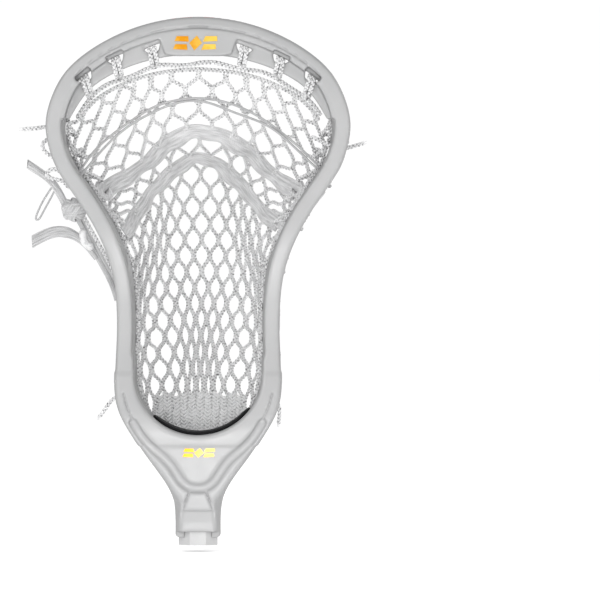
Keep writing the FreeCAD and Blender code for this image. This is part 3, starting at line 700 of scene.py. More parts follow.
def scoop_field(inward, x, y, z):
    """The plate behind the rim with its raised middle pad."""
    lip_half = natural_spline([(-px, pz) for px, pz in SCOOP_LIP[:0:-1]] + SCOOP_LIP, 160)
    lip_distance = distance_to_line(lip_half, GRID_X, GRID_Z)
    lip_height = np.interp(GRID_X, lip_half[:, 0], lip_half[:, 1])
    lip = np.where(GRID_Z[None, :] > lip_height[:, None], -lip_distance, lip_distance)
    plan = np.maximum(lip, 5.0 - inward)[:, None, :]
    plate_y = plate_front(z)
    plate = round_intersect(plan, np.abs(y - plate_y - PLATE_HALF) - PLATE_HALF, 0.8)
    # The shelf that joins the plate to the rim.
    shelf_plan = inside_all(lip, 4.0 - inward, inward - 11.2)[:, None, :]
    shelf_y = at_heights(FRONT_EDGE) + 0.9
    shelf = round_intersect(shelf_plan, np.maximum(shelf_y - y, y - plate_y - 3.0), 0.7)
    plate = smooth_union(plate, shelf, 1.2)
    # The raised pad: its top, its sloping shoulder, its side and its foot.
    pad_plan = inside_all(
        z - 311.6,
        (x - 15.5) * 0.46 + (z - 311.2) * 0.888,
        (x - 23.5) * 0.944 - (z - 307.0) * 0.33,
        296.0 - z + np.maximum(x - 12.0, 0) * 0.12,
    )
    pad = round_intersect(pad_plan, np.maximum(PAD_FRONT - y, y - 2.6), 0.6)
    return smooth_union(plate, pad, 0.8)


def throat_field(ring, x, y, z):
    """The tapering block below the bowl, with the socket's chamfered back and the screw boss."""
    plan = np.maximum(ring, GRID_Z[None, :] - THROAT_TOP)[:, None, :]
    low, high = at_heights(FRONT_EDGE), at_heights(THROAT_BACK)
    block = round_intersect(plan, np.maximum(low - y, y - high), 2.4)
    spread = 20.3 + np.maximum(z - 26.0, 0.0) * 0.72
    chamfer = (np.abs(x) + np.maximum(y, -0.72 * y) - spread) * COS_45
    block = round_intersect(block, chamfer, 1.6)
    # The lower end stands higher at the front and arches across the back.
    lower_end = np.where(y < -9.5, 8.0, 3.2 + 0.012 * x * x) - z
    block = round_intersect(block, lower_end, 1.2)
    boss = round_intersect(np.hypot(x, z - SCREW_HEIGHT) - 6.2, np.maximum(4.0 - y, y - 19.4), 1.2)
    return smooth_union(block, boss, 2.2)


def carve(body, tool, radius):
    """The body with a tool taken out of it and the new edge rounded."""
    return round_intersect(body, -tool, radius)


def cut_slots(body, x, y, z):
    """The scoop's slots for the top string, each with a shallow recess above it."""
    for place_x, place_z, tilt in SLOTS:
        c, s = math.cos(math.radians(tilt)), math.sin(math.radians(tilt))
        # Along the slot (u) and up its short side (v). The slot is wider at the top.
        u = (x - place_x) * c - (z - place_z) * s
        v = (x - place_x) * s + (z - place_z) * c
        slot_half = np.clip(2.8 + (v + 3.4) * 0.7, 2.8, 5.2)
        through = np.maximum(np.abs(v + 1.6) - 2.0, np.abs(u) - slot_half)
        body = carve(body, through + 0 * y, 0.4)
        recess = inside_all(np.abs(v - 1.3) - 1.5, np.abs(u) - 5.4, y - plate_front(z) - 0.6)
        body = carve(body, recess, 0.8)
    return body


def cut_string_holes(body, x, y, z):
    """The row of holes along the rear rail."""
    for height in STRING_HOLES:
        hole = np.hypot(y - (REAR_EDGE(height) - HOLE_INSET), z - height) - 1.8
        body = carve(body, hole + 0 * x, 0.5)
    return body


def cut_face(body, inward, x, z, below_face):
    """The valley and grooves of the front face, and the lines round the socket's pad."""
    # The valley that comes down each side of the throat and meets in the middle.
    valley = (distance_to_line(natural_spline(VALLEY, 60), GRID_X, GRID_Z) - 2.6)[:, None, :]
    body = carve(body, round_intersect(valley, below_face - 1.9, 1.8), 1.2)
    # The fine groove round the rim of the scoop.
    groove = np.maximum(np.abs(inward - 6.6) - 0.7, 284.0 - GRID_Z[None, :])[:, None, :]
    body = carve(body, np.maximum(groove, below_face - 1.2), 0.6)
    # The small step beside each valley's upper end.
    step = (distance_to_line(natural_spline(SIDE_STEP, 20), GRID_X, GRID_Z) - 0.4)[:, None, :]
    body = carve(body, np.maximum(step, below_face - 0.7), 0.5)
    # The shallow dip across the socket, and the outline of the pad above it.
    dip = 1.5 - np.abs(z - 14.0) * 0.05
    collar = inside_all(z - 21.0, 5.0 - z, x - 9.2 - (21.0 - z) * 0.12, below_face - dip)
    body = carve(body, collar, 0.5)
    pad_half = 8.9 - np.clip(z - 23.0, 0, 12) * 0.40
    pad_edge = inside_all(np.abs(x - pad_half) - 0.5, z - 32.0, 20.5 - z)
    pad_top = inside_all(np.abs(z - 32.6) - 0.5, x - 5.6)
    body = carve(body, np.maximum(np.minimum(pad_edge, pad_top), below_face - 1.5), 0.4)
    side_line = inside_all(np.abs(x - 9.4 - (21.0 - z) * 0.12) - 0.5, z - 21.0, 8.5 - z, below_face - 2.1)
    return carve(body, side_line, 0.4)


def cut_socket(body, x, y, z):
    """The eight-sided bore for the shaft, the screw's well and hole, and the window beside them."""
    bore = inside_all(x, np.abs(y), (x + np.abs(y)) * COS_45) - 11.95
    body = carve(body, np.maximum(bore, z - 54.0), 0.3)
    from_screw = np.hypot(x, z - SCREW_HEIGHT)
    body = carve(body, np.maximum(from_screw - 4.1, 16.4 - y), 0.5)
    body = carve(body, np.maximum(from_screw - 1.8, -y), 0.3)
    window = np.maximum(capsule(y, z, (-4.0, 26.0), (-5.0, 43.0), 1.5), 10.0 - x)
    return carve(body, window, 0.4)


def crossing_points(field):
    """A point in every cell of the grid that the zero surface passes through, and each cell's number."""
    inside = field < 0
    shape = np.array(field.shape) - 1
    total = np.zeros((*shape, 3), np.float32)
    count = np.zeros(shape, np.float32)

    def corner(offsets):
        return tuple(slice(offset, offset + size) for offset, size in zip(offsets, shape))

    for axis in range(3):
        others = [i for i in range(3) if i != axis]
        for one, two in ((0, 0), (0, 1), (1, 0), (1, 1)):
            low = [0, 0, 0]
            low[others[0]], low[others[1]] = one, two
            high = list(low)
            high[axis] = 1
            here, there = field[corner(low)], field[corner(high)]
            crosses = inside[corner(low)] != inside[corner(high)]
            share = np.where(crosses, here / np.where(crosses, here - there, 1), 0)
            total[..., axis] += share
            total[..., others[0]] += crosses * one
            total[..., others[1]] += crosses * two
            count += crosses
    used = count > 0
    cells = np.argwhere(used)
    index = np.full(shape, -1, np.int64)
    index[used] = np.arange(len(cells))
    return cells + total[used] / count[used][:, None], index


def surface_net(field):
    """The zero surface of a field on the grid as points, in grid steps, and quads."""
    points, index = crossing_points(field)
    inside = field < 0
    quads = []
    for axis in range(3):
        others = [i for i in range(3) if i != axis]
        low = [slice(1, -1)] * 3
        low[axis] = slice(0, -1)
        high = [slice(1, -1)] * 3
        high[axis] = slice(1, None)
        here, there = inside[tuple(low)], inside[tuple(high)]
        for leaving in (True, False):
            at = np.argwhere((here != there) & (here == leaving))
            at = at + np.array([0 if i == axis else 1 for i in range(3)])
            back = np.zeros(3, int)
            corners = []
            for one, two in ((1, 1), (0, 1), (0, 0), (1, 0)):
                back[others[0]], back[others[1]] = one, two
                corners.append(index[tuple((at - back).T)])
            quad = np.stack(corners, axis=1)
            turn = leaving if axis != 1 else not leaving
            quads.append(quad if turn else quad[:, ::-1])
    return points, np.vstack(quads)


def relax(points, quads, rounds=3, amount=0.5):
    """Evens out the grid's steps by moving each point towards the middle of its neighbours."""
    for _ in range(rounds):
        total = np.zeros_like(points)
        count = np.zeros(len(points))
        for a, b in ((0, 1), (1, 2), (2, 3), (3, 0)):
            np.add.at(total, quads[:, a], points[quads[:, b]])
            np.add.at(total, quads[:, b], points[quads[:, a]])
            np.add.at(count, quads[:, a], 1)
            np.add.at(count, quads[:, b], 1)
        points = points + (total / count[:, None] - points) * amount
    return points


def add_head(material):
    """The moulded head, from its field and the field's mirror image."""
    half = head_field()
    field = np.concatenate([half[:0:-1], half], axis=0)
    points, quads = surface_net(field)
    points = relax(points, quads)
    origin = np.array([-GRID_X[-1], GRID_Y[0], GRID_Z[0]])
    piece = make_mesh("head_shell", points * VOXEL + origin, quads, material)
    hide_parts("head_frame")


# ---- Mesh pocket ----

# The net: columns on each side of the middle, the height of its first row, the pitch and number of rows,
# half the length over which two neighbouring cords lie together, and how far apart they lie there.
COLUMNS = 12
FIRST_ROW = 286.0
ROW_PITCH = 10.0
ROWS = 24
RIB_HALF = 2.3
PAIR_GAP = 1.6
NET_RADIUS = 1.3
NET_PITCH = 7.0
NET_FACING = (0.0, -1.0, 0.15)
NET_SHOULDER = 262.0

# Distance of every second column from the middle at a few heights, as the net was stretched and tied.
COLUMN_SPREAD = {
    285.0: [0, 16.5, 29, 40, 52, 64, 77],
    258.0: [0, 16.0, 28, 39, 52, 65, 79],
    225.0: [0, 12.0, 22.5, 31, 40, 52, 66],
    209.0: [0, 11.0, 19.5, 26, 33, 42, 51],
    182.0: [0, 10.5, 21, 26.5, 31, 36, 41],
    151.0: [0, 8.2, 16.6, 26, 33.5, 37.5, 40],
    122.0: [0, 5.8, 12.5, 21.5, 32, 38, 40],
    101.0: [0, 5.0, 10.5, 18.5, 29, 36, 38.5],
    60.0: [0, 5.5, 11.5, 18, 24, 28, 31],
}


def column_place(column, z):
    """How far across a column of the net lies at a height."""
    levels = sorted(COLUMN_SPREAD)
    spread = [np.interp(z, levels, [COLUMN_SPREAD[level][pair] for level in levels]) for pair in range(7)]
    return math.copysign(1.0, column) * np.interp(abs(column), 2.0 * np.arange(7), spread)


def hem_height(x):
    """Height of the net's upper edge, just under the scoop's lip."""
    return np.interp(np.abs(x), LIP_CURVE[:, 0], LIP_CURVE[:, 1]) - 8.5


def lattice_point(column, row):
    """A node of the net: columns fan across the pocket and rows arch with the scoop."""
    z = FIRST_ROW - ROW_PITCH * row
    x = column_place(column, z)
    arch = np.interp(z, (60.0, 100.0, 190.0, 235.0), (0.0, 0.0008, 0.0020, 0.0075))
    dropped = np.maximum(z - arch * x * x, 43.0)
    return pocket_point(np.clip(x / pocket_half(dropped), -1, 1), dropped)


def net_line(column):
    """One knitted cord that zigzags between two neighbouring columns and lies beside the next cord."""
    places = []
    for row in range(-6, ROWS):
        at = column if (row + column) % 2 == 0 else column + 1
        push = PAIR_GAP / 2 * (1.0 if at == column else -1.0)
        for lift in (-RIB_HALF, RIB_HALF):
            place = lattice_point(at, row + lift / ROW_PITCH)
            if place[2] < hem_height(place[0]) - 1.0:
                places.append(place + np.array([push, 0.0, 0.0]))
    top = places[0].copy()
    top[2] = hem_height(top[0])
    top[1] = POCKET_EDGE(top[2])
    if np.linalg.norm(top - places[0]) > 3.0:
        places.insert(0, top)
    return natural_spline(places, 760)


# One stitch: places across (in half widths), along (in pitches) and out (in millimetres), and how far
# the yarn stands out at each of them.
STITCH = [(-0.95, 0.75, -0.1), (-0.5, 0.3, 0.55), (0.0, -0.35, 0.75), (0.5, 0.3, 0.55), (0.95, 0.75, -0.1)]
# STITCH_HEIGHT sets painted shade: the cord material darkens the yarn where it stands out less.
STITCH_HEIGHT = [0.65, 0.9, 1.1, 0.9, 0.65]


def knit(tubes, line, half, pitch, facing):
    """A column of close knitting: stitches like stacked Vs over a flat backing. The backing and the
    stitches' ends get low heights, which the cord material paints as shade.
    """
    line = resampled(line, pitch / 4)
    # The backing's low height paints it in shade.
    add_band(tubes, line, facing, half * 0.96, 1.0, sides=6, height=0.55)
    tangents, normals, across = frames_facing(line, facing)
    for at in range(2, len(line) - 3, 4):
        for face in (-1, 1):
            stitch = [
                line[at] + across[at] * (u * half) - tangents[at] * (v * pitch) + normals[at] * (face * w)
                for u, v, w in STITCH
            ]
            tubes.add(stitch, half * 0.30, 5, STITCH_HEIGHT)


def add_net(material):
    """The knitted mesh's open cells down to the ball stop, with its two side edges and its hem."""
    tubes = TubeSet()
    for column in range(-COLUMNS, COLUMNS):
        braid(tubes, net_line(column), NET_RADIUS, NET_PITCH, facing=NET_FACING)
    for side in (-1, 1):
        edge = pocket_point(side * 0.985, np.linspace(NET_SHOULDER, 60.0, 60))
        braid(tubes, edge, NET_RADIUS * 0.9, NET_PITCH)
    across = np.linspace(-73.0, 73.0, 120)
    hem = np.stack([across, POCKET_EDGE(hem_height(across)), hem_height(across)], axis=1)
    braid(tubes, hem, NET_RADIUS * 1.05, NET_PITCH, facing=NET_FACING)
    piece = tubes.piece("pocket_net", material, "mesh_cord")
    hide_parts("pocket_mesh")


# Knitted columns on each side of the middle one.
END_WALES = 5


def add_net_end(material):
    """The close knitting that ends the mesh round the bottom of the bag."""
    tubes = TubeSet()
    for wale in range(-END_WALES, END_WALES + 1):
        share = wale / END_WALES * 0.74
        heights = np.linspace(89.0 + 1.5 * ((wale + 1) % 2), 41.5, 60)
        line = pocket_point(share * np.interp(heights, (41.0, 90.0), (1.05, 0.9)), heights)
        knit(tubes, line, 2.6, 2.2, (0.0, -1.0, 0.3))
    piece = tubes.piece("pocket_net_end", material, "mesh_cord")


# The loose end of the mesh, folded out under the bag: Y, Z along its middle, and half widths.
TAIL_LINE = [(36.0, 41.5), (46.0, 40.5), (58.0, 42.0), (72.0, 45.5), (86.0, 51.5), (97.0, 60.0),
             (104.0, 70.0)]
TAIL_HALF = [16.0, 17.0, 18.5, 19.0, 19.0, 17.5, 14.0]
TAIL_WALES = 14
TAIL_WEFTS = 15
TAIL_CURL = 7.0
TAIL_SAMPLES = 120


def add_mesh_tail(material):
    """The unused end of the mesh: knitted columns side by side, with a ragged end."""
    middle = natural_spline([(0.0, y, z) for y, z in TAIL_LINE], TAIL_SAMPLES)
    share = np.linspace(0, 1, TAIL_SAMPLES)
    half = np.interp(share, np.linspace(0, 1, len(TAIL_HALF)), TAIL_HALF)
    tubes = TubeSet()
    for wale in range(TAIL_WALES):
        across = -1 + 2 * wale / (TAIL_WALES - 1)
        line = middle.copy()
        line[:, 0] = across * half
        line[:, 2] += TAIL_CURL * across ** 2 * np.sqrt(share) + 0.8 * np.sin(share * 9 + wale * 2.4)
        last = 116 - int(5 * (1 + math.sin(wale * 2.7)))
        knit(tubes, line[:last], 2.2, 2.5, (0.0, -0.35, 0.94))
    across = np.linspace(-1, 1, 30)
    for row in range(TAIL_WEFTS):
        at = 6 + row * 7
        curl = TAIL_CURL * across ** 2 * math.sqrt(share[at]) + 0.5 * np.sin(across * 22)
        weft = [across * half[at], middle[at, 1] + np.abs(across) * 2.0, middle[at, 2] + curl]
        tubes.add(np.stack(weft, axis=1), 0.8, 5)
    piece = tubes.piece("mesh_loose_end", material, "mesh_cord")
    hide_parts("mesh_tail")


# ---- Strings ----

STRING_RADIUS = 1.35
STRING_PITCH = 7.2
# A short curl of the left sidewall string, outside the rail.
LEFT_CURL = [(-79, 34, 221), (-85.5, 33, 227), (-91, 32.5, 228), (-93.5, 33, 225), (-90, 34, 222.5),
             (-84, 35.5, 221), (-80, 36, 217)]


def rail_side(z, side):
    """The middle of the rear rail at a height, on one side."""
    outside = float(half_width(z))
    return np.array([side * (outside - REAR_INSET - REAR_WALL / 2), float(REAR_EDGE(z)) - HOLE_INSET, z])


def knot(tubes, centre, radius, tilt=0.0):
    """A small knot pulled tight: a cord looped through itself."""
    t = np.linspace(0, 2 * math.pi, 70)
    ring = np.stack([-np.sin(3 * t) * 0.42, (np.sin(t) + 2 * np.sin(2 * t)) / 3,
                     (np.cos(t) - 2 * np.cos(2 * t)) / 3], axis=1) * radius
    c, s = math.cos(tilt), math.sin(tilt)
    turn = np.array([[1, 0, 0], [0, c, -s], [0, s, c]])
    # Painted shade: the height rises and falls three times round the knot, and the cord material darkens it
    # where it is low.
    tubes.add(np.asarray(centre) + ring @ turn.T, radius * 0.40, 7, 0.6 + 0.3 * np.cos(3 * t))


def add_sidewall_string(name, node, side, material):
    """The string that laces one edge of the mesh to the holes of the rear rail."""

    def off(place, out, back=0.0, up=0.0):
        """A place moved away from the middle of the head, back and up."""
        return place + np.array([side * out, back, up])

    tubes = TubeSet()
    heights = [z for z in STRING_HOLES if z < NET_SHOULDER]
    path = []
    for z in heights[::-1]:
        rail = rail_side(z, side)
        net = pocket_point(side * 0.955, np.array(z - 5.5))
        path += [off(net, 0.0, 1.5, 8.0), off(rail, -4.6, 1.0, 3.0), off(rail, -4.4, 0.0, -0.5),
                 off(net, 1.2, -1.2)]
    braid(tubes, natural_spline(path, 1400), STRING_RADIUS, STRING_PITCH, step=0.6)
    for index, z in enumerate(heights):
        rail = rail_side(z, side)
        through = [off(rail, -4.2), rail, off(rail, 4.6)]
        braid(tubes, natural_spline(through, 12), STRING_RADIUS, STRING_PITCH)
        if index % 2 == 0:
            knot(tubes, off(rail, 5.4), 2.3, tilt=index)
        elif z < 250:
            down = rail_side(z - HOLE_PITCH, side)
            run = [off(rail, 4.6), off((rail + down) / 2, 5.6, 1.0), off(down, 4.6)]
            braid(tubes, natural_spline(run, 40), STRING_RADIUS * 0.95, STRING_PITCH)
    if side < 0:
        braid(tubes, natural_spline(LEFT_CURL, 60), STRING_RADIUS, STRING_PITCH)
    piece = tubes.piece(name, material, "string_cord")
    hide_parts(node)


BOTTOM_STRING = [(-34, 27.5, 76), (-29, 31, 66), (-18, 31.5, 58.5), (-6, 30.5, 55),
                 (6, 30.5, 55), (18, 31.5, 58.5), (29, 31, 66), (34, 27.5, 76)]


def add_top_string(material):
    """The string that hangs the mesh from the six slots of the scoop."""
    tubes = TubeSet()
    across = np.linspace(-74.0, 74.0, 160)
    sway = np.sin(across * 0.19)
    height = hem_height(across) + 3.6 + 0.9 * sway
    hem = np.stack([across, POCKET_EDGE(height) - 2.2 - 0.8 * sway, height], axis=1)
    braid(tubes, hem, STRING_RADIUS * 1.1, STRING_PITCH, facing=NET_FACING)
    for side in (-1, 1):
        for place_x, place_z, tilt in SLOTS:
            lean = math.radians(tilt)
            along = np.array([side * math.cos(lean), 0.0, -math.sin(lean)])
            down = np.array([-side * math.sin(lean) * 0.5, 0.0, -1.0])
            slot = np.array([side * place_x, plate_front(place_z), place_z - 1.4])
            hem_y = float(POCKET_EDGE(place_z - 9.0)) - slot[1]
            for offset in (-1.6, 1.6):
                top = slot + along * offset
                loop = [
                    top + down * drop + np.array([0.0, back, up])
                    for drop, back, up in (
                        (9.0, hem_y - 2.0, 0.0), (5.5, -0.6, 0.0), (2.6, -1.4, 0.0), (0.0, 0.2, 0.6),
                        (0.0, 3.6, 0.4), (5.0, 5.6, 0.0), (9.5, hem_y + 0.5, 0.0),
                    )
                ]
                loop = natural_spline(loop, 70)
                braid(tubes, loop, STRING_RADIUS * 1.1, STRING_PITCH, facing=(0.3, -0.9, 0.2))
            knot(tubes, slot + down * 8.5 + np.array([0.0, hem_y - 1.5, 0.0]), 2.7, tilt=place_x)
    piece = tubes.piece("top_string_cord", material, "string_cord")
    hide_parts("top_string")


def add_bottom_string(material):
    """The string that gathers the bag's lower edge and ties it to the rails."""
    tubes = TubeSet()
    braid(tubes, natural_spline(BOTTOM_STRING, 160), STRING_RADIUS, STRING_PITCH)
    for side in (-1, 1):
        for z in (88.0, 101.2):
            rail = rail_side(z, side)
            turns = np.linspace(0, 4 * math.pi, 60)
            wrap = np.stack([rail[0] + np.cos(turns) * 5.2, rail[1] + 1.0 + np.sin(turns) * 5.6,
                             rail[2] - 2.5 + turns * 0.45], axis=1)
            braid(tubes, wrap, STRING_RADIUS, STRING_PITCH)
    piece = tubes.piece("bottom_string_cord", material, "string_cord")
    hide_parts("bottom_string")


NYLON_SHOOTER = [(-72, 13.5, 225.5), (-58, 22, 243), (-42, 21.5, 256), (-22, 16, 266.5), (0, 13.5, 270.2),
                 (21, 16, 265), (42, 20.5, 255.5), (58, 21, 243), (72, 14, 229.5)]


def add_nylon_shooter(material):
    """Two waxed cords side by side across the top of the pocket, crossing where they weave."""
    tubes = TubeSet()
    line = natural_spline(NYLON_SHOOTER, 260)
    first, _ = frames_along(line)
    along = np.linspace(0, 1, 260)
    gap = 1.15 + 0.8 * np.sin(along * 17.0) * np.cos(along * 5.0)
    for sign in (-1, 1):
        apart = (sign * gap)[:, None]
        weave = (0.7 * np.sin(along * 46.0 + sign))[:, None]
        cord = line + first * apart * 0.3 + UP * apart * 0.85 + BACK * weave
        tubes.add(cord, 0.72, 8)
    piece = tubes.piece("nylon_shooter_cords", material, "nylon_cord")
    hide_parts("nylon_shooter")


# ---- Flat laces ----

LACE_THICK = 1.3
FOLDED_THICK = 1.2
WEFT_PITCH = 1.6


def add_band(tubes, line, facing, half, thick, slant=0.0, fold=0.0, sides=14, height=None):
    """A flat woven band along a line. Facing is the way its broad side looks; fold curls its edges."""
    line = np.asarray(line, float)
    count = len(line)
    half = np.broadcast_to(half, (count,))
    thick = np.broadcast_to(thick, (count,))
    fold = np.broadcast_to(fold, (count,))
    tangents, normals, across = frames_facing(line, facing)
    angles = np.linspace(0, 2 * math.pi, sides, endpoint=False)
    wide = np.sign(np.cos(angles)) * np.abs(np.cos(angles)) ** 0.7
    deep = np.sign(np.sin(angles)) * np.abs(np.sin(angles)) ** 0.6
    end = np.concatenate([np.zeros(count - 3), [0.25, 0.6, 1.0]])
    sideways = wide[None, :] * half[:, None]
    outward = deep[None, :] * thick[:, None] / 2 - fold[:, None] * wide[None, :] ** 2
    onward = end[:, None] * slant * wide[None, :]
    rings = (
        line[:, None, :]
        + across[:, None, :] * sideways[:, :, None]
        + normals[:, None, :] * outward[:, :, None]
        + tangents[:, None, :] * onward[:, :, None]
    )
    if height is not None:
        tubes.add_rings(rings, np.full(count, height))
        return
    before = len(tubes.uvs)
    tubes.add_rings(rings, np.ones(count))
    around = np.tile((wide + 1) / 2, count)
    along = np.repeat(lengths_along(line) / WEFT_PITCH, sides)
    tubes.uvs[before] = np.stack([around, along], axis=1)


def pocket_normal(x, z):
    """The way the pocket's front surface faces at a place."""
    x = np.clip(x, 2.0 - 0.97 * pocket_half(z), 0.97 * pocket_half(z) - 2.0)

    def place(px, pz):
        return pocket_point(px / pocket_half(pz), pz)

    a = place(x + 2, z) - place(x - 2, z)
    b = place(x, z + 2) - place(x, z - 2)
    normal = unit(np.cross(a, b))
    return normal * -np.sign(normal[:, 1:2])


def on_pocket(x, z, lift):
    """Points just in front of the pocket's surface."""
    share = np.clip(x / pocket_half(z), -0.97, 0.97)
    return pocket_point(share, z) + pocket_normal(x, z) * np.asarray(lift)[:, None]


UPPER_LACE = [(-66, 209), (-54, 219.5), (-41, 228.5), (-28.5, 238), (-15.5, 248), (0, 252.6),
              (16.5, 248.5), (33, 238), (45.5, 226), (55, 218.5), (66, 211)]
LOWER_LACE = [(-47.5, 189), (-38.5, 205), (-32, 215), (-19, 227.5), (-6.5, 236), (1, 237.2),
              (13.5, 231.5), (24, 221.5), (32, 212.5), (39.5, 203), (52, 192)]


def add_shooting_lace(name, node, places, half, material):
    """A flat lace woven over and under the ribs of the net."""
    tubes = TubeSet()
    line = natural_spline([(x, 0.0, z) for x, z in places], 220)
    x, z = line[:, 0], line[:, 2]
    along = np.linspace(0, 1, 220)
    lift = 1.7 + 0.7 * np.sin(along * 50.0)
    centre = on_pocket(x, z, lift)
    half_here = half * (1 + 0.10 * np.sin(along * 21.0) + 0.06 * np.sin(along * 50.0))
    facing = pocket_normal(x, z) + np.array([0.0, -1.2, 0.0])
    add_band(tubes, centre, facing, half_here, LACE_THICK, sides=20, fold=0.25)
    piece = tubes.piece(name, material, "lace_fabric")
    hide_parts(node)


def add_lace_wrap(name, node, height, material):
    """Two turns of lace round the right rear rail, where a shooting lace is tied off."""
    tubes = TubeSet()
    rail = rail_side(height, 1)
    lean = np.array([-0.62, 0.0, -0.78]) if height > 200 else np.array([-0.5, 0.0, -0.86])
    side = np.array([lean[2], 0.0, -lean[0]]) * -1.0
    angles = np.linspace(-0.4, 2 * math.pi - 0.2, 60)
    out = np.stack([np.cos(angles), np.sin(angles)], axis=1)
    reach = np.sign(out) * np.abs(out) ** 0.75
    facing = side * out[:, :1] + BACK * out[:, 1:]
    for turn in range(2):
        centre = rail + lean * (turn * 6.2 - 3.1)
        line = centre + side * (reach[:, :1] * 5.3) + BACK * (reach[:, 1:] * 6.6 - 0.6)
        line = line + lean * (angles[:, None] * 0.5)
        add_band(tubes, line, facing, 3.3, LACE_THICK, sides=16)
    piece = tubes.piece(name, material, "lace_fabric")
    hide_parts(node)


# The three turns of the big knot: how far each reaches sideways, back and up, its tilt and half width.
LACE_KNOT_TURNS = [(7.6, 6.2, 5.6, 0.25, 4.2), (7.2, 5.6, 6.2, -0.45, 3.6), (6.0, 6.4, 6.6, 1.1, 3.8)]


def add_lace_knot(material):
    """The big overhand knot of the upper lace behind the left rail."""
    tubes = TubeSet()
    centre = np.array([-77.0, 36.0, 203.5])
    turns = np.linspace(0, 2 * math.pi, 50)
    for reach, deep, tall, tilt, half in LACE_KNOT_TURNS:
        flat = np.stack([np.cos(turns) * reach, np.sin(turns) * deep, np.sin(turns * 2) * 0.8], axis=1)
        c, s = math.cos(tilt), math.sin(tilt)
        turned = flat @ np.array([[c, 0, s], [0, 1, 0], [-s, 0, c]])
        loop = centre + turned * np.array([0.86, 0.82, tall / 6.2])
        add_band(tubes, loop, unit(turned), half, LACE_THICK * 1.2, sides=16)
    core = np.stack([np.linspace(-5.5, 5.5, 12), np.zeros(12), np.linspace(1.5, -1.5, 12)], axis=1)
    tubes.add(core + centre, 4.6 * np.sqrt(1 - np.linspace(-0.8, 0.8, 12) ** 2) + 0.6, 12)
    piece = tubes.piece("lace_knot", material, "lace_fabric")
    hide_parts("left_lace_knot")


# ---- Loose ends. Their routes are in metres, as the CAD has them. ----

UPPER_LACE_TAIL = [(-0.079, 0.036, 0.203), (-0.083, 0.036, 0.211), (-0.088, 0.0365, 0.219),
                   (-0.095, 0.0355, 0.2265), (-0.1045, 0.033, 0.2325)]
NYLON_HAIRPIN = [(-0.089, 0.036, 0.2195), (-0.095, 0.037, 0.211), (-0.099, 0.038, 0.203),
                 (-0.101, 0.0385, 0.1975), (-0.0985, 0.0385, 0.1973), (-0.0955, 0.038, 0.203),
                 (-0.091, 0.037, 0.211), (-0.088, 0.0365, 0.217)]
LOWER_LACE_TAIL = [(-0.063, 0.043, 0.174), (-0.0695, 0.0425, 0.1825), (-0.0765, 0.0425, 0.1885),
                   (-0.086, 0.043, 0.191), (-0.0955, 0.0425, 0.1885), (-0.103, 0.0415, 0.184)]
LACE_RUN = [(-0.074, 0.040, 0.198), (-0.0665, 0.0425, 0.184), (-0.058, 0.044, 0.169),
            (-0.0525, 0.0445, 0.1565), (-0.0505, 0.0435, 0.1485)]
LEFT_STRING_TAIL = [(-0.074, 0.020, 0.257), (-0.0835, 0.0175, 0.255), (-0.0925, 0.015, 0.2538),
                    (-0.100, 0.013, 0.2525), (-0.1065, 0.012, 0.2522)]
LEFT_STRING_LOOP = [(-0.079, 0.026, 0.238), (-0.085, 0.024, 0.2445), (-0.091, 0.022, 0.247),
                    (-0.096, 0.0205, 0.244), (-0.0945, 0.021, 0.2385), (-0.088, 0.024, 0.235),
                    (-0.080, 0.027, 0.232)]
RIGHT_STRING_TAIL = [(0.069, 0.023, 0.248), (0.0785, 0.020, 0.243), (0.0865, 0.017, 0.2403),
                     (0.0935, 0.014, 0.2413), (0.100, 0.012, 0.2435)]
LEFT_BOTTOM_TAIL = [(-0.037, 0.0315, 0.097), (-0.042, 0.035, 0.093), (-0.0485, 0.038, 0.0905),
                    (-0.0545, 0.040, 0.0865), (-0.058, 0.041, 0.081), (-0.0615, 0.042, 0.0765)]
RIGHT_BOTTOM_TAIL = [(0.037, 0.031, 0.099), (0.041, 0.035, 0.0925), (0.0465, 0.0385, 0.0875),
                     (0.050, 0.041, 0.0805), (0.0485, 0.0435, 0.0725)]


TAIL_STEP = 0.8

# The loose string ends: piece, CAD node, route, length in metres and how the far end finishes.
STRING_TAILS = [
    ("left_string_end", "left_string_tail", LEFT_STRING_TAIL, 0.033, "bare"),
    ("left_string_bight", "left_string_loop", LEFT_STRING_LOOP, 0.040, "object"),
    ("right_string_end", "right_string_tail", RIGHT_STRING_TAIL, 0.033, "bare"),
    ("left_bottom_end", "left_bottom_tail", LEFT_BOTTOM_TAIL, 0.0335, "bare"),
    ("right_bottom_end", "right_bottom_tail", RIGHT_BOTTOM_TAIL, 0.0315, "bare"),
]


def route_line(route):
    """Points in metres along the smooth line of a route."""
    curve = bpy.data.curves.new("route", "CURVE")
    curve.dimensions = "3D"
    spline = curve.splines.new("NURBS")
    spline.points.add(len(route) - 1)
    for point, place in zip(spline.points, route):
        point.co = (*place, 1.0)
    spline.order_u = 3
    spline.use_endpoint_u = True
    spline.resolution_u = 16
    holder = bpy.data.objects.new("route", curve)
    mesh = bpy.data.meshes.new_from_object(holder)
    line = np.array([vertex.co[:] for vertex in mesh.vertices])
    bpy.data.objects.remove(holder)
    bpy.data.curves.remove(curve)
    bpy.data.meshes.remove(mesh)
    return line


def add_string_tail(name, node, route, far_end, material):
    """A braided string's loose end, a little frayed where it was cut."""
    line = route_line(route)
    tubes = TubeSet()
    braid(tubes, line / MM, STRING_RADIUS, STRING_PITCH, sides=6)
    if far_end == "bare":
        end, back = line[-1] / MM, line[-6] / MM
        way = (end - back) / np.linalg.norm(end - back)
        for hair in range(7):
            swing = np.array([math.sin(hair * 2.1), math.cos(hair * 1.7), math.sin(hair * 3.3 + 1)])
            spread = swing * 0.34
            wisp = [end - way + spread, end + way * 0.8 + spread * 1.8, end + way * 1.8 + spread * 2.6]
            tubes.add(natural_spline(wisp, 6), 0.16, 4)
    piece = tubes.piece(name, material, "string_cord")
    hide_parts(node)


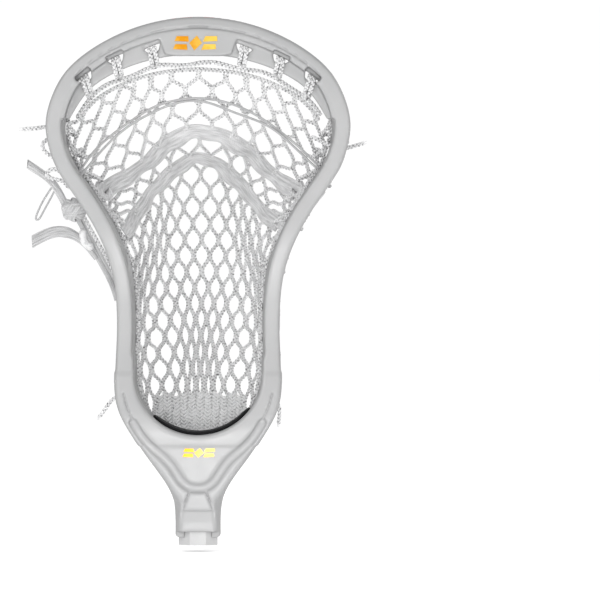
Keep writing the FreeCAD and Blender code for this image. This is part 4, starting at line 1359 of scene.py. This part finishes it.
def add_upper_lace_tail(material):
    """A lace end folded lengthwise over itself, open at its cut tip."""
    line = resampled(route_line(UPPER_LACE_TAIL) / MM, TAIL_STEP)
    share = np.linspace(0, 1, len(line))
    tubes = TubeSet()
    fold = 1.9 + 0.5 * np.sin(share * 9)
    half = 2.45 + 0.5 * share
    add_band(tubes, line, (0.35, -0.75, 0.45), half, FOLDED_THICK, slant=1.0, fold=fold, sides=20)
    piece = tubes.piece("upper_lace_end", material, "lace_fabric")
    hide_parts("left_upper_lace_tail")


def add_lower_lace_tail(material):
    """A lace end that opens out flat and is cut at a slant."""
    line = resampled(route_line(LOWER_LACE_TAIL) / MM, TAIL_STEP)
    share = np.linspace(0, 1, len(line))
    open_out = np.clip((share - 0.18) / 0.35, 0, 1)
    tubes = TubeSet()
    half = 1.7 + 2.0 * open_out
    fold = 1.6 * (1 - open_out) + 0.35
    add_band(tubes, line, (0.1, -0.93, 0.35), half, FOLDED_THICK, slant=-1.9, fold=fold, sides=24)
    piece = tubes.piece("lower_lace_end", material, "lace_fabric")
    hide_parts("left_lower_lace_tail")


def add_nylon_hairpin(material):
    """The doubled end of the nylon shooter, hanging behind the left rail."""
    line = route_line(NYLON_HAIRPIN)
    tubes = TubeSet()
    tubes.add(line / MM, 0.6, 8)
    piece = tubes.piece("nylon_end", material, "nylon_cord")
    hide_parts("left_nylon_tail")


def add_lace_run(lace, string):
    """What runs down behind the left rail from the knot: two laces, a string and a thick bight."""
    line = resampled(route_line(LACE_RUN) / MM, 1.0)
    share = np.linspace(0, 1, len(line))[:, None]
    tubes = TubeSet()
    for shift, half in ((-1.4, 1.7), (1.6, 1.5)):
        path = line + np.array([shift * 0.8, 0.6, shift * 0.5]) * (1 + 0.3 * np.sin(share * 6 + shift))
        add_band(tubes, path, (-0.5, -0.7, 0.5), half, FOLDED_THICK, fold=0.9, sides=16)
    piece = tubes.piece("lace_run", lace, "lace_fabric")
    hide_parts("left_lace_run")
    cords = TubeSet()
    braid(cords, line + np.array([2.8, -1.2, 1.6]), STRING_RADIUS, STRING_PITCH)
    arch = np.linspace(-1, 1, 12)[:, None] ** 2 * np.array([1.8, 0, 1.2])
    cords.add(line[8:20] + np.array([-3.2, -0.5, -2.0]) + arch, 2.3, 9)
    cords.piece("string_run", string, "string_cord")


# ---- Foam, label and marks ----


FOAM_MIDDLE = 4.5


def add_ball_stop(material):
    """A crescent of foam stuck to the bottom of the bowl, its edges a little rounded."""
    radius = BOWL_RADIUS - 1.3
    angles = np.linspace(-math.asin(27.0 / radius), math.asin(31.0 / radius), 90)
    facing = np.stack([-np.sin(angles), np.zeros(90), np.cos(angles)], axis=1)
    line = np.array([0.0, FOAM_MIDDLE, BOWL_CENTRE]) - facing * radius
    ends = np.sqrt(1 - np.linspace(-1, 1, 90) ** 8 * 0.9)
    tubes = TubeSet()
    add_band(tubes, line, facing, 13.2 * ends, 3.4 * ends, sides=28)
    piece = tubes.piece("ball_stop_foam", material, "black_foam")
    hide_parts("ball_stop")


def add_label(material):
    """A plain red strip of film on the outside of the scoop, fitted to the leaning rim."""
    columns, rows = 80, 9
    across = np.linspace(-46.0, 11.0, columns)
    points = []
    for depth in np.linspace(1.6, 7.0, rows):
        edge = inset_outline(RIM_LEAN * (depth - RIM_LEAN_START) - 0.45)
        top = edge[edge[:, 1] > 285][::-1]
        order = np.argsort(top[:, 0])
        slanted = across + 0.45 * (depth - 4.0)
        height = np.interp(np.abs(slanted), top[order, 0], top[order, 1])
        points.append(np.stack([slanted, np.full(columns, depth), height], axis=1))
    index = np.arange(rows * columns).reshape(rows, columns)
    quads = np.stack([index[:-1, :-1], index[1:, :-1], index[1:, 1:], index[:-1, 1:]], axis=-1)
    piece = make_mesh("scoop_label_film", np.vstack(points), quads.reshape(-1, 4), material)
    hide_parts("scoop_label")


def add_mark(name, node, centre, width, height, material):
    """A generic foil ornament: a diamond between two tapering bars each side."""
    shapes = [[(0, -0.5), (0.15, 0), (0, 0.5), (-0.15, 0)]]
    for side in (-1, 1):
        for low, high in ((0.08, 0.46), (-0.46, -0.08)):
            inner, outer = (side * 0.16, side * 0.2), (side * 0.5, side * 0.47)
            shapes.append([(inner[0], low), (outer[0], low + 0.05), (outer[1], high), (inner[1], high)])
    points, quads = [], []
    for shape in shapes:
        start = len(points)
        for depth in (-0.2, 0.2):
            for u, v in shape:
                u_mm, v_mm = u * width + v * height * 0.18, v * height
                points.append((centre[0] + u_mm, centre[1] + depth, centre[2] + v_mm))
        quads.append([start, start + 1, start + 2, start + 3])
        quads.append([start + 7, start + 6, start + 5, start + 4])
        for i in range(4):
            after = (i + 1) % 4
            quads.append([start + i, start + 4 + i, start + 4 + after, start + after])
    piece = make_mesh(name, points, quads, material)
    for polygon in piece.data.polygons:
        polygon.use_smooth = False
    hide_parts(node)


# ---- The scene ----


def paint(node, material):
    """Gives a CAD node its finished material."""
    node_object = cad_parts[node]
    node_object.data.materials.clear()
    node_object.data.materials.append(material)


def add_floor():
    """A wide sheet of paper just under the object, which takes no part in the model."""
    mesh = bpy.data.meshes.new("floor")
    mesh.from_pydata([(-6, -6, 0), (6, -6, 0), (6, 6, 0), (-6, 6, 0)], [], [(0, 1, 2, 3)])
    mesh.materials.append(floor_paper())
    floor = bpy.data.objects.new("floor", mesh)
    floor.location = (0.0, 0.0, -0.004)
    bpy.context.collection.objects.link(floor)


def main():
    add_camera()
    add_lights()
    add_floor()
    # The second colour given to each cord material is its painted shade, for the plait's crossings.
    mesh_yarn = cord_fabric("mesh_cord", (0.75, 0.75, 0.755), (0.05, 0.05, 0.052), 1500.0)
    string_yarn = cord_fabric("string_cord", (0.80, 0.80, 0.805), (0.06, 0.06, 0.062), 1300.0)
    nylon = cord_fabric("nylon_cord", (0.44, 0.44, 0.445), (0.24, 0.24, 0.245), 900.0, 0.0)
    lace = lace_fabric("lace_fabric", (0.38, 0.38, 0.385), (0.74, 0.74, 0.745))
    # A darker copy of the same lace fabric, for the knot, the loose ends and the run behind the left rail.
    darker_lace = lace_fabric("darker_lace", (0.30, 0.30, 0.305), (0.68, 0.68, 0.685))
    gold = gold_foil()

    add_head(head_plastic())
    add_net(mesh_yarn)
    add_net_end(mesh_yarn)
    add_mesh_tail(mesh_yarn)
    add_top_string(string_yarn)
    add_sidewall_string("left_sidewall_cord", "left_sidewall_string", -1, string_yarn)
    add_sidewall_string("right_sidewall_cord", "right_sidewall_string", 1, string_yarn)
    add_bottom_string(string_yarn)
    add_nylon_shooter(nylon)
    add_shooting_lace("upper_lace", "upper_shooting_lace", UPPER_LACE, 5.3, lace)
    add_shooting_lace("lower_lace", "lower_shooting_lace", LOWER_LACE, 4.6, lace)
    add_lace_wrap("upper_wrap", "upper_lace_wrap", 213.0, lace)
    add_lace_wrap("lower_wrap", "lower_lace_wrap", 190.0, lace)
    add_lace_knot(darker_lace)
    add_upper_lace_tail(darker_lace)
    add_lower_lace_tail(darker_lace)
    add_nylon_hairpin(nylon)
    add_lace_run(darker_lace, string_yarn)
    for name, node, route, length, far_end in STRING_TAILS:
        add_string_tail(name, node, route, far_end, string_yarn)
    add_ball_stop(foam())
    add_label(red_film())
    add_mark("scoop_mark", "scoop_badge", (-1.5, PAD_FRONT - 0.1, 303.8), 26.0, 9.0, gold)
    add_mark("throat_mark", "throat_badge", (0.8, -15.1, 56.0), 19.0, 5.6, gold)
    paint("shaft_stub", shaft_coating())
    paint("head_screw", screw_steel())


main()
